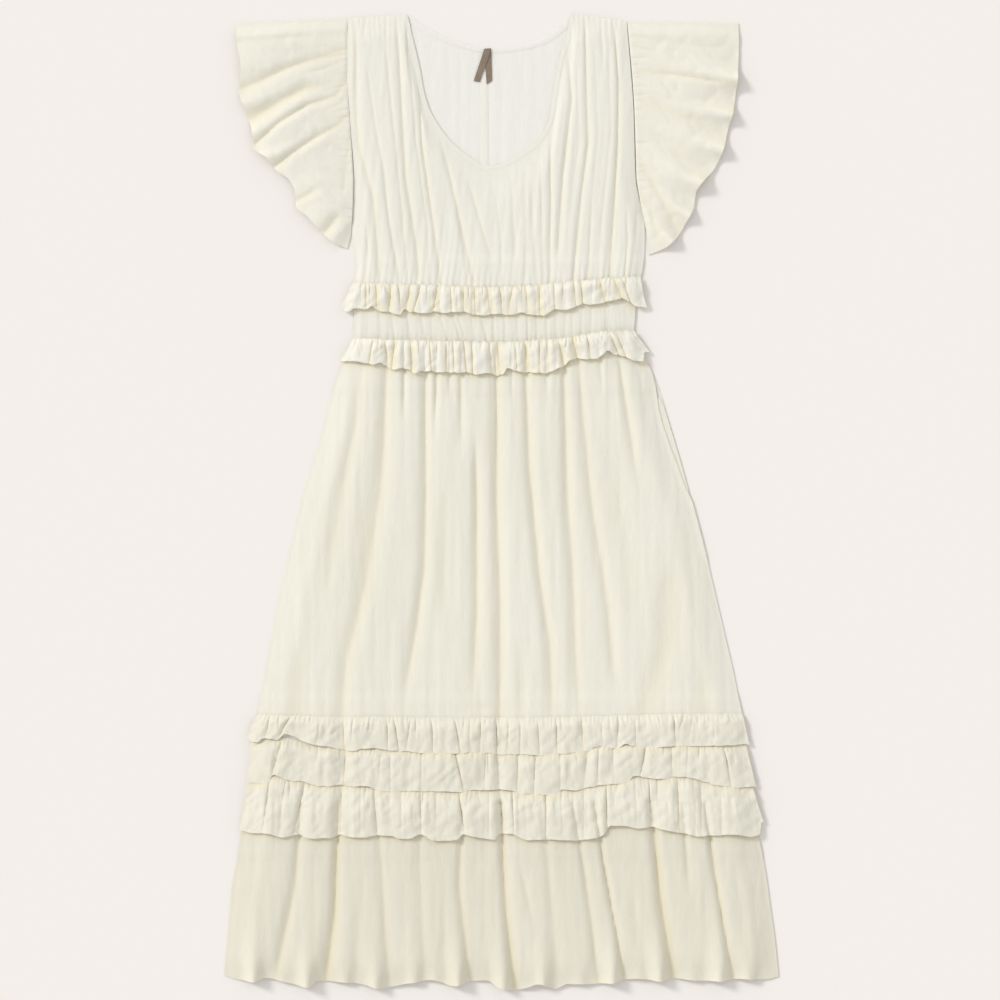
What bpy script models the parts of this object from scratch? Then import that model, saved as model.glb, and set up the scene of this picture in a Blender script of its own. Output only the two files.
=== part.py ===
"""Gathered midi dress laid flat on its back: every cut piece is its own thin shell.

World frame: +X to the right of the lay-out, +Y towards the neck, +Z up from the surface the dress rests on.
The tables below count steps of a lay-out grid, across (x, to the right) and down (y, from the shoulder to the hem).
"""

import bpy
import math
import numpy as np

# ---------------------------------------------------------------- driving sizes, metres
STEP = 0.00123          # one step of the lay-out grid: 976 steps from shoulder to hem = 1.20 m
CENTRE_X = 501.44       # grid column of the middle of the whole outline
CENTRE_Y = 501.30       # grid row of the middle of the whole outline
CLOTH = 0.0012          # thickness of every cloth piece
RIBBON = 0.0008         # thickness of the hanging ribbon
GAP = 0.0003            # clearance between pieces that lie on each other
SEAM = 0.45             # clearance between pieces that are sewn edge to edge, in steps
LOFT = 0.0058           # how far the front panels stand off the back ones between their folds
EDGE_EASE = 30.0        # steps from the side seam over which the front rises to its loft
FRILL_LIFT = 0.0050     # how far the waist frills stand off
RUFFLE_LIFT = 0.0066    # how far the skirt ruffles stand off
SLEEVE_LOFT = 0.0075    # how far the upper half of a sleeve stands off at its hem
BIND_FRONT = 4.5        # width of the front neck binding, steps
BIND_BACK = 5.5         # width of the back neck binding, steps
RISE = CLOTH + GAP      # what one layer adds to the height of the next

BODY_COLUMNS = 28
WAIST_COLUMNS = 26
SLEEVE_COLUMNS = 16
SLEEVE_ROWS = (0.0, 0.2, 0.5, 0.78, 1.0)

# ---------------------------------------------------------------- outline tables
# y, x of the left and of the right side edge of the body, armhole seam down to the hem
LEFT_EDGE = (
    (12, 347), (71, 347), (121, 350), (179, 354), (232, 352), (250, 354), (266, 357), (283, 353.5),
    (300, 353), (316, 354), (337, 353), (350, 349), (366, 341), (396, 331), (430, 322.5), (460, 314),
    (490, 304), (520, 297), (550, 290), (580, 283), (610, 276), (640, 270.5), (670, 265), (700, 260),
    (714, 257), (735, 253), (760, 251), (800, 246), (836, 241), (860, 237), (886, 232), (930, 228), (977, 224),
)
RIGHT_EDGE = (
    (12, 627), (64, 631), (107, 634), (179, 636), (229, 645), (250, 644.5), (271, 642), (278, 640),
    (300, 636), (316, 635), (330, 634), (345, 640), (370, 651), (393, 661), (413, 667), (437, 674),
    (455, 679.5), (478, 686), (500, 692), (550, 705), (580, 712), (610, 719), (640, 726), (670, 733),
    (700, 739), (714, 742), (740, 745), (785, 751), (820, 756), (838, 759), (874, 766), (904, 770),
    (940, 775), (979, 779),
)
# y, how far the front skirt is set back from the right side seam: the mouth of the pocket
POCKET_MOUTH = ((0, 0), (396, 0), (404, 8.5), (422, 8), (447, 6.5), (463, 5), (480, 4), (492, 2), (502, 0), (999, 0))
# x, y of the neck edge of the front bodice, and of the shoulder seams on each side of it
LEFT_SHOULDER = ((347, 17.5), (357, 17), (367, 16.5), (377, 16), (387, 15.3), (397, 14.6), (406, 14))
FRONT_NECK = (
    (406, 14), (412, 36), (417, 56), (420.5, 72), (424, 92), (430, 110), (438, 124), (449, 139), (461, 150),
    (473, 159), (486, 165.5), (498, 164), (510, 159), (524, 150), (537, 140), (546, 126), (550, 114),
    (553, 92), (556.5, 71), (561, 52), (566, 38), (572, 14),
)
RIGHT_SHOULDER = ((572, 14), (581, 15), (590, 16), (600, 17.3), (609, 18.5), (618, 19.8), (627, 21))
# x, y of the neck edge of the back bodice
BACK_NECK = ((406, 14), (420, 23), (434, 31), (448, 37), (463, 42), (484, 46.5), (498, 47), (513, 45.5), (528, 43),
             (541, 39), (553, 32.5), (563, 25), (572, 14))
CENTRE_BACK = 484.0     # grid column of the centre back seam
# x, y of the seams across the body
WAIST_TOP = ((340, 282), (420, 285), (495, 287), (560, 283), (600, 279), (645, 276))
WAIST_LOW = ((340, 338), (420, 341), (495, 342.5), (560, 339), (600, 333), (645, 330))
TIER_SEAM = ((230, 799), (500, 801), (770, 799))
HEM = (
    (224, 976), (240, 980), (252, 981), (266, 978), (285, 982), (308, 986), (318, 981), (334, 981.5), (352, 982.5),
    (366, 985), (382, 988), (398, 985.5), (412, 982.5), (432, 980), (452, 985), (472, 981), (486, 980.5),
    (500, 987), (514, 990), (526, 988), (540, 983.5), (555, 989), (568, 984), (590, 984), (612, 982), (636, 978.5),
    (660, 980), (674, 978.5), (700, 980.5), (722, 980), (744, 978.5), (766, 979.5), (779, 977),
)

# ---------------------------------------------------------------- folds of the front panels
# x, y at the start; x, y at the end; half width (steps); depth (share of the loft); fade at start, at end (steps)
BODICE_FOLDS = (
    (357, 24, 374, 275, 7, 0.55, 6, 10), (381, 150, 397, 280, 6, 0.50, 40, 4), (401, 50, 416, 280, 6, 0.60, 30, 4),
    (422, 105, 440, 282, 6, 0.60, 20, 4), (441, 140, 474, 280, 6, 0.55, 20, 4), (471, 186, 492, 275, 6, 0.35, 20, 10),
    (512, 172, 516, 270, 6, 0.35, 20, 12), (550, 150, 551, 283, 6, 0.60, 30, 4), (569, 30, 560, 270, 6, 0.60, 12, 6),
    (586, 18, 577, 278, 6, 0.55, 8, 4), (616, 24, 608, 276, 7, 0.60, 8, 6), (633, 120, 636, 265, 6, 0.40, 40, 10),
)
SKIRT_FOLDS = (
    (363, 345, 325, 625, 9, 0.40, 2, 120), (388, 345, 343, 800, 9, 0.62, 2, 10), (425, 345, 404, 760, 8, 0.80, 2, 60),
    (438, 345, 433, 450, 6, 0.50, 2, 50), (461, 345, 461, 450, 6, 0.45, 2, 50), (476, 430, 472, 730, 8, 0.75, 50, 50),
    (497, 345, 501, 800, 9, 0.88, 2, 40), (525, 345, 553, 730, 8, 0.72, 2, 50), (563, 345, 579, 740, 8, 0.65, 2, 60),
    (577, 345, 617, 700, 8, 0.55, 2, 60), (618, 345, 650, 800, 9, 0.60, 2, 20), (668, 540, 672, 800, 12, 0.50, 60, 20),
    (308, 640, 300, 800, 12, 0.30, 50, 30),
)
FLOUNCE_FOLDS = (
    (300, 800, 275, 988, 11, 0.60, 10, 2), (340, 800, 324, 988, 12, 0.85, 10, 2), (378, 800, 389, 988, 9, 0.55, 20, 2),
    (418, 800, 423, 988, 8, 0.45, 20, 2), (462, 800, 471, 988, 9, 0.60, 20, 2), (501, 800, 516, 988, 11, 0.85, 10, 2),
    (542, 800, 557, 988, 9, 0.50, 20, 2), (574, 800, 598, 988, 8, 0.60, 20, 2), (597, 800, 626, 988, 8, 0.65, 20, 2),
    (650, 800, 676, 988, 12, 0.85, 10, 2), (683, 800, 694, 930, 9, 0.50, 20, 40), (706, 800, 736, 988, 9, 0.60, 20, 2),
)
WAISTBAND_FOLDS = (
    (391, 285, 394, 342, 5, 0.40, 2, 2), (405, 285, 411, 342, 5, 0.50, 2, 2), (420, 285, 428, 342, 5, 0.50, 2, 2),
    (440, 285, 449, 342, 5, 0.45, 2, 2), (451, 285, 465, 342, 5, 0.55, 2, 2), (479, 285, 488, 342, 5, 0.50, 2, 2),
    (502, 285, 506, 342, 5, 0.45, 2, 2), (520, 285, 522, 342, 5, 0.40, 2, 2), (545, 285, 547, 342, 5, 0.45, 2, 2),
    (573, 285, 572, 342, 5, 0.40, 2, 2), (592, 285, 590, 342, 5, 0.50, 2, 2), (608, 285, 604, 342, 5, 0.50, 2, 2),
)

# ---------------------------------------------------------------- frills and ruffles
# each: x, y along the free edge, then x at the seam, x at the free edge, half width, depth of every fold
FRILL_UPPER = {
    "edge": ((341, 307.5), (348, 311), (356, 308.5), (367, 310), (372, 307), (377, 311), (388, 312.5), (400, 314.5),
             (404, 310), (411, 313), (424, 313), (436, 312.5), (446, 313), (463, 312), (478, 316), (490, 315),
             (500, 314), (507, 315.5), (521, 312.5), (530, 315), (541, 316), (556, 309.5), (565, 310), (584, 304.5),
             (601, 304), (612, 300.5), (622, 299), (629, 303), (640, 307), (648, 307.5)),
    "folds": ((366, 366.5, 5, 0.7), (376, 377, 6, 0.9), (391.5, 389, 6, 0.8), (410.5, 406, 6, 0.9), (421, 413.5, 5, 0.8),
              (437.5, 433.5, 6, 0.9), (450.5, 451.5, 5, 0.6), (463.5, 463.5, 6, 0.8), (474.5, 475.5, 6, 0.8),
              (487, 491, 6, 0.7), (500, 502, 5, 0.5), (513, 508, 6, 0.6), (525, 529, 6, 0.6), (539.5, 540, 6, 0.9),
              (554, 555, 5, 0.6), (573.5, 576, 5, 0.7), (580.5, 583, 5, 0.9), (599, 605.5, 6, 0.7), (613, 622, 6, 0.8),
              (621, 630.5, 5, 0.7)),
}
FRILL_LOWER = {
    "edge": ((341, 361), (352, 361.5), (362, 363.5), (370, 365), (376, 362.5), (383, 366), (392, 370.5), (399, 368.5),
             (407, 369.5), (414, 374), (422, 371), (435, 372), (452, 373), (466, 373), (476, 375), (488, 373.5),
             (498, 376), (503, 375), (508, 368), (516, 371), (530, 373.5), (544, 373.5), (556, 370), (567, 366),
             (573, 361), (584, 359), (598, 359.5), (608, 355), (617, 350.5), (622, 355), (632, 357), (640, 361),
             (648, 361), (654, 352)),
    "folds": ((374, 369.5, 5, 0.7), (385, 388, 5, 0.6), (395.5, 392, 6, 0.8), (410.5, 412, 6, 0.8), (430, 432, 5, 0.8),
              (446.5, 446.5, 5, 0.7), (453, 454.5, 5, 0.7), (463.5, 466.5, 5, 0.8), (471.5, 473, 5, 0.8),
              (489.5, 492.5, 5, 0.7), (497.5, 500.5, 6, 0.9), (514.5, 517, 5, 0.6), (525, 529, 6, 0.8),
              (539.5, 539.5, 5, 0.7), (548, 549, 5, 0.4), (558, 564, 6, 0.8), (572.5, 577, 6, 0.8), (586, 590, 5, 0.6),
              (609, 619, 5, 0.8), (616, 626, 5, 0.6)),
}
RUFFLE_1 = {
    "edge": ((247, 738), (252, 741.5), (257, 742), (262, 738), (270, 738), (277, 740), (284, 733.5), (292, 735),
             (303, 741), (316, 745), (330, 746.5), (340, 749), (355, 750.5), (363, 748), (375, 747), (390, 749.7),
             (408, 751), (420, 752), (441, 753.3), (461, 753), (470, 751.5), (477, 753.3), (489, 752.4), (496, 754.6),
             (517, 753.3), (540, 755), (557, 753.5), (577, 751.5), (590, 751), (595, 746), (603, 746), (618, 748),
             (626, 743), (636, 746.5), (652, 748), (664, 746), (682, 745.5), (697, 746), (720, 745), (749, 744)),
    "folds": ((270, 266, 6, 0.7), (292, 279, 7, 0.9), (320, 317, 7, 0.5), (343, 345, 7, 0.95), (370, 368, 7, 0.4),
              (387, 388, 6, 0.7), (393.5, 399, 6, 0.8), (411, 406, 6, 0.6), (431, 433, 7, 0.7), (454, 461, 7, 0.8),
              (470, 471, 6, 0.5), (481.5, 480, 6, 0.6), (496, 497, 7, 0.95), (509, 507, 6, 0.6), (520, 520, 6, 0.6),
              (537, 540, 7, 0.8), (556, 557, 7, 0.8), (581.5, 583, 7, 0.8), (601.5, 603, 6, 0.6), (618, 619, 6, 0.7),
              (635, 636, 7, 0.7), (650, 651, 6, 0.4), (673, 676, 7, 0.9), (692, 688, 7, 0.8), (714, 714, 6, 0.4)),
}
RUFFLE_2 = {
    "edge": ((249, 782.5), (267, 782.5), (272, 774.5), (280, 777), (290, 780), (303, 781), (312, 784), (325, 785.5),
             (340, 785), (352, 785.5), (368, 785.5), (378, 789.5), (397, 790.4), (420, 790.4), (444, 790.4),
             (462, 792), (472, 789.5), (497, 789), (514, 790.4), (520, 793), (533, 793), (550, 794.4), (558, 793.5),
             (562, 789), (575, 789.5), (594, 785.5), (611, 783.5), (628, 781), (634, 775.5), (648, 777), (664, 778.5),
             (676, 776), (690, 777), (706, 781), (722, 785.5), (743, 787), (755, 786)),
    "folds": ((283, 272, 8, 0.8), (318, 312, 8, 0.4), (346, 344, 8, 0.95), (382, 379, 8, 0.5), (390, 390, 7, 0.5),
              (422, 420, 8, 0.5), (454, 464.5, 7, 0.8), (488, 487, 8, 0.7), (518, 519.5, 7, 0.8), (536, 534, 7, 0.7),
              (556, 558, 7, 0.5), (570, 568.5, 7, 0.5), (585, 583, 7, 0.6), (592, 595, 8, 0.6), (613, 614, 7, 0.4),
              (646, 637, 7, 0.8), (670, 670, 9, 0.9), (688, 686, 7, 0.5), (722.5, 731, 7, 0.7)),
}
RUFFLE_3 = {
    "edge": ((240, 830), (254, 832.5), (268, 833), (283, 836.5), (298, 834), (308, 837), (329, 837), (340, 834.6),
             (352, 836.4), (365, 836), (380, 834.6), (392, 835), (400, 837.7), (410, 837.5), (420, 834), (434, 839),
             (448, 840), (457, 839), (464, 834), (480, 836.4), (494, 839), (499, 834), (511, 833), (527, 839),
             (548, 838.5), (568, 839.5), (590, 838), (598, 836.5), (604, 833), (612, 825), (628, 825), (640, 827.5),
             (652, 826.5), (665, 829), (680, 832), (700, 835), (735, 833.5), (752, 836), (760, 834), (764, 822)),
    "folds": ((271, 263, 7, 0.8), (287, 279, 8, 0.4), (306, 297, 8, 0.8), (342, 341, 9, 0.95), (374, 380, 8, 0.7),
              (400, 400, 7, 0.5), (418, 420, 9, 0.6), (435, 436, 7, 0.4), (458, 464, 7, 0.8), (489, 489, 7, 0.6),
              (498, 505, 9, 0.95), (512, 514, 7, 0.5), (545, 545, 7, 0.6), (562, 563, 7, 0.4), (584, 585, 8, 0.7),
              (597, 597, 8, 0.5), (606, 607, 7, 0.8), (634, 636, 7, 0.5), (650, 651, 8, 0.8), (676, 680, 9, 0.9),
              (703, 705, 7, 0.5), (721, 724, 7, 0.5)),
}
# name, seam as x, y; overhang of the free edge past the body on the left and on the right; lift
TRIM = {
    "waist_frill_upper": dict(seam=WAIST_TOP, nudge=1.2, over=(12.5, 11.5), lift=FRILL_LIFT, shape=FRILL_UPPER),
    "waist_frill_lower": dict(seam=WAIST_LOW, nudge=1.2, over=(3.5, 6.5), lift=FRILL_LIFT, shape=FRILL_LOWER),
    "ruffle_1": dict(seam=((230, 716), (257, 716), (320, 717.5), (500, 718.5), (600, 717), (690, 715), (745, 715)),
                     nudge=0.0, over=(6.0, 4.0), lift=RUFFLE_LIFT, shape=RUFFLE_1),
    "ruffle_2": dict(seam=((230, 740), (285, 739.5), (300, 743), (340, 747), (560, 749), (590, 745), (630, 742.5),
                           (660, 744), (750, 743)),
                     nudge=0.0, over=(1.0, 4.5), lift=RUFFLE_LIFT, shape=RUFFLE_2),
    "ruffle_3": dict(seam=((230, 777), (272, 772.5), (300, 778), (340, 783), (440, 787), (540, 789), (600, 782),
                           (634, 774), (680, 774), (750, 782)),
                     nudge=0.0, over=(2.0, 7.0), lift=RUFFLE_LIFT, shape=RUFFLE_3),
}
# y where the back panels start to rise, lie on the back frills, still do, and are down again
PROPPED = ((267, 275, 377, 386), (703, 712, 841, 850))

# ---------------------------------------------------------------- sleeves
# armhole: x, y from the shoulder to the underarm; hem: x, y from the top fold to the underarm
SLEEVE_LEFT = {
    "armhole": ((346.0, 17.5), (346.0, 46), (346.0, 71), (347.2, 98), (348.9, 121), (351.0, 150), (352.8, 179),
                (352.4, 205), (351.0, 232)),
    "hem": ((236, 23), (237, 43), (241, 66), (239, 90), (246, 112), (252, 132), (253, 147), (266, 158), (277, 171),
            (289, 180), (295, 192), (296, 206), (308, 217), (319, 229), (333, 242), (347, 248.5)),
    # place along the hem (share), place along the armhole (share), half width (share), depth (share)
    "folds": ((0.10, 0.06, 0.030, 0.45), (0.205, 0.13, 0.040, 0.80), (0.31, 0.20, 0.035, 0.55),
              (0.44, 0.30, 0.040, 0.85), (0.56, 0.47, 0.035, 0.75), (0.69, 0.62, 0.035, 0.80),
              (0.84, 0.80, 0.035, 0.60)),
}
SLEEVE_RIGHT = {
    "armhole": ((628.2, 21), (630.4, 45), (632.2, 64), (633.9, 86), (635.2, 107), (636.4, 143), (637.4, 179),
                (641.4, 205), (646.4, 229)),
    "hem": ((738.5, 23), (739, 45), (738, 70), (736, 92), (733, 112), (728.5, 128), (724, 147), (715, 168),
            (703, 182), (696, 193), (694, 207), (686, 223), (678, 236), (667, 247), (649, 254.5)),
    "folds": ((0.09, 0.07, 0.030, 0.40), (0.20, 0.21, 0.040, 0.80), (0.33, 0.33, 0.040, 0.55),
              (0.46, 0.44, 0.035, 0.50), (0.62, 0.55, 0.035, 0.60), (0.76, 0.68, 0.040, 0.75),
              (0.90, 0.82, 0.030, 0.50)),
}

# y; x of the left and right edge of the pocket bag
POCKET = ((398, 640, 659.5), (405, 625, 663.5), (430, 618, 671.2), (460, 617, 680.2), (490, 620, 688.6),
          (515, 628, 689), (540, 640, 680), (556, 654, 669))

# ribbon: x, y of its left edge; x, y of its right edge; turn (0 = lower leg, 1 = upper leg)
RIBBON_ROWS = (
    (486.2, 84.0, 491.8, 80.5, 0.0), (484.2, 52.5, 490.8, 51.5, 0.0), (484.0, 50.6, 490.6, 49.9, 0.25),
    (483.9, 50.0, 490.5, 49.5, 0.5), (483.8, 50.6, 490.4, 50.4, 0.75), (483.4, 52.5, 490.1, 53.4, 1.0),
    (474.3, 80.8, 481.0, 81.8, 1.0),
)


# ---------------------------------------------------------------- helpers
def smooth(table, v):
    """Curve through the rows (place, value) of a table, without overshoot."""
    p = np.array([row[0] for row in table], float)
    q = np.array([row[1] for row in table], float)
    v = np.clip(v, p[0], p[-1])
    i = np.clip(np.searchsorted(p, v, side="right") - 1, 0, len(p) - 2)
    h = np.diff(p)
    d = np.diff(q) / h
    m = np.empty(len(p))
    m[0], m[-1] = d[0], d[-1]
    for k in range(1, len(p) - 1):
        m[k] = 0.0 if d[k - 1] * d[k] <= 0 else 2 * d[k - 1] * d[k] / (d[k - 1] + d[k])
    u = (v - p[i]) / h[i]
    return ((2 * u**3 - 3 * u**2 + 1) * q[i] + (u**3 - 2 * u**2 + u) * h[i] * m[i]
            + (3 * u**2 - 2 * u**3) * q[i + 1] + (u**3 - u**2) * h[i] * m[i + 1])


def ease(u):
    u = min(max(u, 0.0), 1.0)
    return u * u * (3 - 2 * u)


def along(path, u):
    """Point at the share u of the length of a path of x, y rows."""
    p = np.array(path, float)
    run = np.concatenate(([0.0], np.cumsum(np.hypot(*np.diff(p, axis=0).T))))
    return np.interp(u * run[-1], run, p[:, 0]), np.interp(u * run[-1], run, p[:, 1])


def left_edge(y):
    return float(smooth(LEFT_EDGE, y))


def right_edge(y):
    return float(smooth(RIGHT_EDGE, y))


def body_x(s, y, mouth=False):
    right = right_edge(y) - (float(np.interp(y, *zip(*POCKET_MOUTH))) if mouth else 0.0)
    return left_edge(y) + s * (right - left_edge(y))


def prop(y):
    """Height of the underside of the back panels: they lie on the surface, and over the back frills."""
    return RISE * max(float(np.interp(y, zone, (0.0, 1.0, 1.0, 0.0))) for zone in PROPPED)


def prop_front(y):
    """What the back frills add under the front panels, which fall more slowly past them."""
    return RISE * max(float(np.interp(y, (a - 12, b - 12, c + 12, d + 12), (0.0, 1.0, 1.0, 0.0)))
                      for a, b, c, d in PROPPED)


def fold_depth(folds, x, y):
    """Share of the loft taken out by the folds at a point."""
    left = 1.0
    for x0, y0, x1, y1, half, depth, fade0, fade1 in folds:
        if y < y0 or y > y1:
            continue
        t = (y - y0) / (y1 - y0)
        across = (x - (x0 + t * (x1 - x0))) / half
        if abs(across) > 3:
            continue
        fades = ease((y - y0) / fade0 + 0.15) * ease((y1 - y) / fade1 + 0.15)
        left *= 1 - depth * fades * math.exp(-across * across)
    return 1 - left


def pocket_floor(x, y):
    """What the pocket bag adds under the front skirt."""
    if y < 388 or y > 566:
        return 0.0
    left = float(np.interp(y, [row[0] for row in POCKET], [row[1] for row in POCKET]))
    return RISE * min(ease((y - 388) / 9), ease((566 - y) / 9), ease((x - left + 16) / 12))


def front_height(folds, x, y, s):
    """Height of the underside of a front panel."""
    inside = min(s, 1 - s) * (right_edge(y) - left_edge(y))
    rise = LOFT * ease(inside / EDGE_EASE) * (1 - fold_depth(folds, x, y))
    return prop_front(y) + RISE + max(rise, pocket_floor(x, y))


def place(x, y, z):
    return ((x - CENTRE_X) * STEP, (CENTRE_Y - y) * STEP, z)


def make_material(name, colour):
    material = bpy.data.materials.new(name)
    material.use_nodes = True
    shader = material.node_tree.nodes["Principled BSDF"]
    shader.inputs["Base Color"].default_value = (*colour, 1.0)
    shader.inputs["Roughness"].default_value = 0.9
    return material


def shell(name, grid, thickness=CLOTH, outward=1.0, colour=(0.80, 0.77, 0.66)):
    """One cut piece: a grid of points, columns first, given a thickness on the side its faces look to."""
    columns, rows = len(grid), len(grid[0])
    points = [place(*grid[i][j]) for i in range(columns) for j in range(rows)]
    faces = [
        (i * rows + j, i * rows + j + 1, (i + 1) * rows + j + 1, (i + 1) * rows + j)
        for i in range(columns - 1) for j in range(rows - 1)
    ]
    mesh = bpy.data.meshes.new(name)
    mesh.from_pydata(points, [], faces)
    mesh.update()
    piece = bpy.data.objects.new(name, mesh)
    dress.objects.link(piece)
    solid = piece.modifiers.new("thickness", "SOLIDIFY")
    solid.thickness = thickness
    solid.offset = outward
    solid.use_even_offset = False
    piece.data.materials.append(make_material(name + "_cloth", colour))
    return piece


def panel(columns, rows, top, bottom, height, mouth=False, left=0.0, right=1.0):
    """Grid of a body panel between two seams. rows are shares of the way down; height gives z at x, y, s."""
    grid = []
    for s in np.linspace(left, right, columns + 1):
        ends = []
        for seam, shift in ((top, SEAM), (bottom, -SEAM)):
            middle = seam[len(seam) // 2][1]
            ends.append(float(smooth(seam, body_x(s, middle))) + shift)
        line = []
        for t in rows:
            y = ends[0] + t * (ends[1] - ends[0])
            x = body_x(s, y, mouth)
            line.append((x, y, height(x, y, s)))
        grid.append(line)
    return grid


def back_panel(columns, rows, top, bottom):
    """Grid of a back panel between two seams, with rows where its height changes."""
    grid = []
    for s in np.linspace(0.0, 1.0, columns + 1):
        ends = [float(smooth(seam, body_x(s, seam[len(seam) // 2][1]))) for seam in (top, bottom)]
        line = []
        for y in (ends[0] + SEAM,) + rows + (ends[1] - SEAM,):
            line.append((body_x(s, y), y, prop(y)))
        grid.append(line)
    return grid


def facet_top(grid, s, y):
    """Top of a body panel, as faceted, at the share s of its width."""
    last = len(grid) - 1
    place_s = min(max(s, 0.0), 1.0) * last
    i = min(int(place_s), last - 1)
    z = [np.interp(y, [p[1] for p in grid[k]], [p[2] for p in grid[k]]) for k in (i, i + 1)]
    return z[0] + (place_s - i) * (z[1] - z[0]) + 1.18 * CLOTH


def trim_x(s, y, t, over):
    """Place across of a point of a frill: on the body's columns, spread past the body at both ends."""
    x = body_x(s, y)
    return x - over[0] * t * ease(1 - s / 0.07) + over[1] * t * ease(1 - (1 - s) / 0.07)


def trim_front(columns, rows, spec, base):
    """Grid of a front frill: stitched down along its seam, standing off the panel below between its folds."""
    grid = []
    seam, edge, folds = spec["seam"], spec["shape"]["edge"], spec["shape"]["folds"]
    for s in np.linspace(0.0, 1.0, columns + 1):
        start = float(smooth(seam, body_x(s, seam[len(seam) // 2][1]))) + spec["nudge"]
        end_y = edge[len(edge) // 2][1]
        end = float(smooth(edge, trim_x(s, end_y, 1.0, spec["over"])))
        line = []
        for t in rows:
            y = start + t * (end - start)
            x = trim_x(s, y, t, spec["over"])
            left = 1.0
            for x0, x1, half, depth in folds:
                across = (x - (x0 + t * (x1 - x0))) / half
                left *= 1 - depth * math.exp(-across * across)
            sides = 0.25 + 0.75 * ease(min(s, 1 - s) / 0.05)
            puff = spec["lift"] * ease(t / 0.35 + 0.12) * (0.8 + 0.2 * t) * left * sides
            clear = 0.0008 + 0.0034 * ease((t - 0.3) / 0.5)
            line.append((x, y, base(s, y) + clear + puff))
        grid.append(line)
    return grid


def trim_back(columns, spec, end_limit):
    """Grid of a back frill: pressed flat on the surface under the panels."""
    seam, edge = spec["seam"], spec["shape"]["edge"]
    grid = []
    for s in np.linspace(0.0, 1.0, columns + 1):
        start = float(smooth(seam, body_x(s, seam[len(seam) // 2][1]))) + spec["nudge"]
        end = float(smooth(edge, trim_x(s, edge[len(edge) // 2][1], 1.0, spec["over"])))
        end = min(end, end_limit(s))
        line = []
        for t in (0.0, 1.0):
            y = start + t * (end - start)
            line.append((trim_x(s, y, t, spec["over"]), y, 0.0))
        grid.append(line)
    return grid


# ---------------------------------------------------------------- start empty
for old in list(bpy.data.objects):
    bpy.data.objects.remove(old, do_unlink=True)
dress = bpy.data.collections.new("gathered_midi_dress")
bpy.context.scene.collection.children.link(dress)


# ---------------------------------------------------------------- bodice
def inward(path, k):
    """Unit step into the cloth at the row k of a neck edge that runs from left to right."""
    a = path[max(k - 1, 0)]
    b = path[min(k + 1, len(path) - 1)]
    dx, dy = b[0] - a[0], b[1] - a[1]
    run = math.hypot(dx, dy)
    return -dy / run, dx / run


tops = [(x, y, 0.0, 1.0) for x, y in LEFT_SHOULDER[:-1]]
neck_from = len(tops)
for k, (x, y) in enumerate(FRONT_NECK):
    nx, ny = inward(FRONT_NECK, k)
    if k in (0, len(FRONT_NECK) - 1):
        nx, ny = (-0.35, 0.94) if k == 0 else (0.35, 0.94)
    tops.append((x, y, nx, ny))
neck_to = len(tops) - 1
tops += [(x, y, 0.0, 1.0) for x, y in RIGHT_SHOULDER[1:]]
FRONT_ROWS = (0.0, 0.14, 0.30, 0.46, 0.62, 0.78, 0.93, 1.0)
front = []
for i, (x0, y0, nx, ny) in enumerate(tops):
    x1, y1 = x0 + BIND_FRONT * nx, y0 + BIND_FRONT * ny
    share = i / (len(tops) - 1)
    foot = float(smooth(WAIST_TOP, body_x(share, 283))) - SEAM
    high = (x1 - left_edge(y1)) / (right_edge(y1) - left_edge(y1))
    line = []
    for x, y in [(x0, y0)]:
        s = (x - left_edge(y)) / (right_edge(y) - left_edge(y))
        line.append((x, y, front_height(BODICE_FOLDS, x1, y1, high)))
    for t in FRONT_ROWS:
        y = y1 + t * (foot - y1)
        s = high + t * (share - high)
        x = left_edge(y) + s * (right_edge(y) - left_edge(y))
        line.append((x, y, front_height(BODICE_FOLDS, x, y, s)))
    front.append(line)
shell("bodice_front", front)

binding = []
for i in range(neck_from, neck_to + 1):
    line = []
    for x, y, z in front[i][:2]:
        line.append((x, y, z + 1.12 * CLOTH + GAP + 0.0001))
    binding.append(line)
shell("neck_binding_front", binding)

# the back bodice: two halves with a seam down the middle
BACK_ROWS = (71, 98, 121, 150, 179, 205, 232, 250, 267, 275)
for name, side in (("bodice_back_left", 0), ("bodice_back_right", 1)):
    if side == 0:
        line_of_tops = list(LEFT_SHOULDER[::2]) + [p for p in BACK_NECK[1:] if p[0] < CENTRE_BACK]
        line_of_tops.append((CENTRE_BACK - SEAM, 46.5))
    else:
        line_of_tops = [(CENTRE_BACK + SEAM, 46.6)] + [p for p in BACK_NECK[:-1] if p[0] > CENTRE_BACK + 5]
        line_of_tops += list(RIGHT_SHOULDER[::2])
    grid = []
    last = len(line_of_tops) - 1
    for i, (x0, y0) in enumerate(line_of_tops):
        middle = (CENTRE_BACK + (-SEAM if side == 0 else SEAM) - left_edge(283)) / (right_edge(283) - left_edge(283))
        share = middle * i / last if side == 0 else middle + (1 - middle) * i / last
        foot = float(smooth(WAIST_TOP, body_x(share, 283))) - SEAM
        high = (x0 - left_edge(y0)) / (right_edge(y0) - left_edge(y0))
        line = []
        for y in (y0,) + BACK_ROWS + (foot,):
            t = (y - y0) / (foot - y0)
            s = high + t * (share - high)
            x = left_edge(y) + s * (right_edge(y) - left_edge(y))
            if (side == 0 and i == last) or (side == 1 and i == 0):
                x = CENTRE_BACK + (-SEAM if side == 0 else SEAM)
            line.append((x, y, prop(y)))
        grid.append(line)
    shell(name, grid)

# the allowances of the centre back seam, pressed to one side on the inside
strip = []
for x in (CENTRE_BACK - 3.6, CENTRE_BACK + 4.2):
    strip.append([(x, y, prop(y) + RISE) for y in (53.2, 160, 267, 275, 285.8)])
shell("centre_back_seam", strip)

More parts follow.
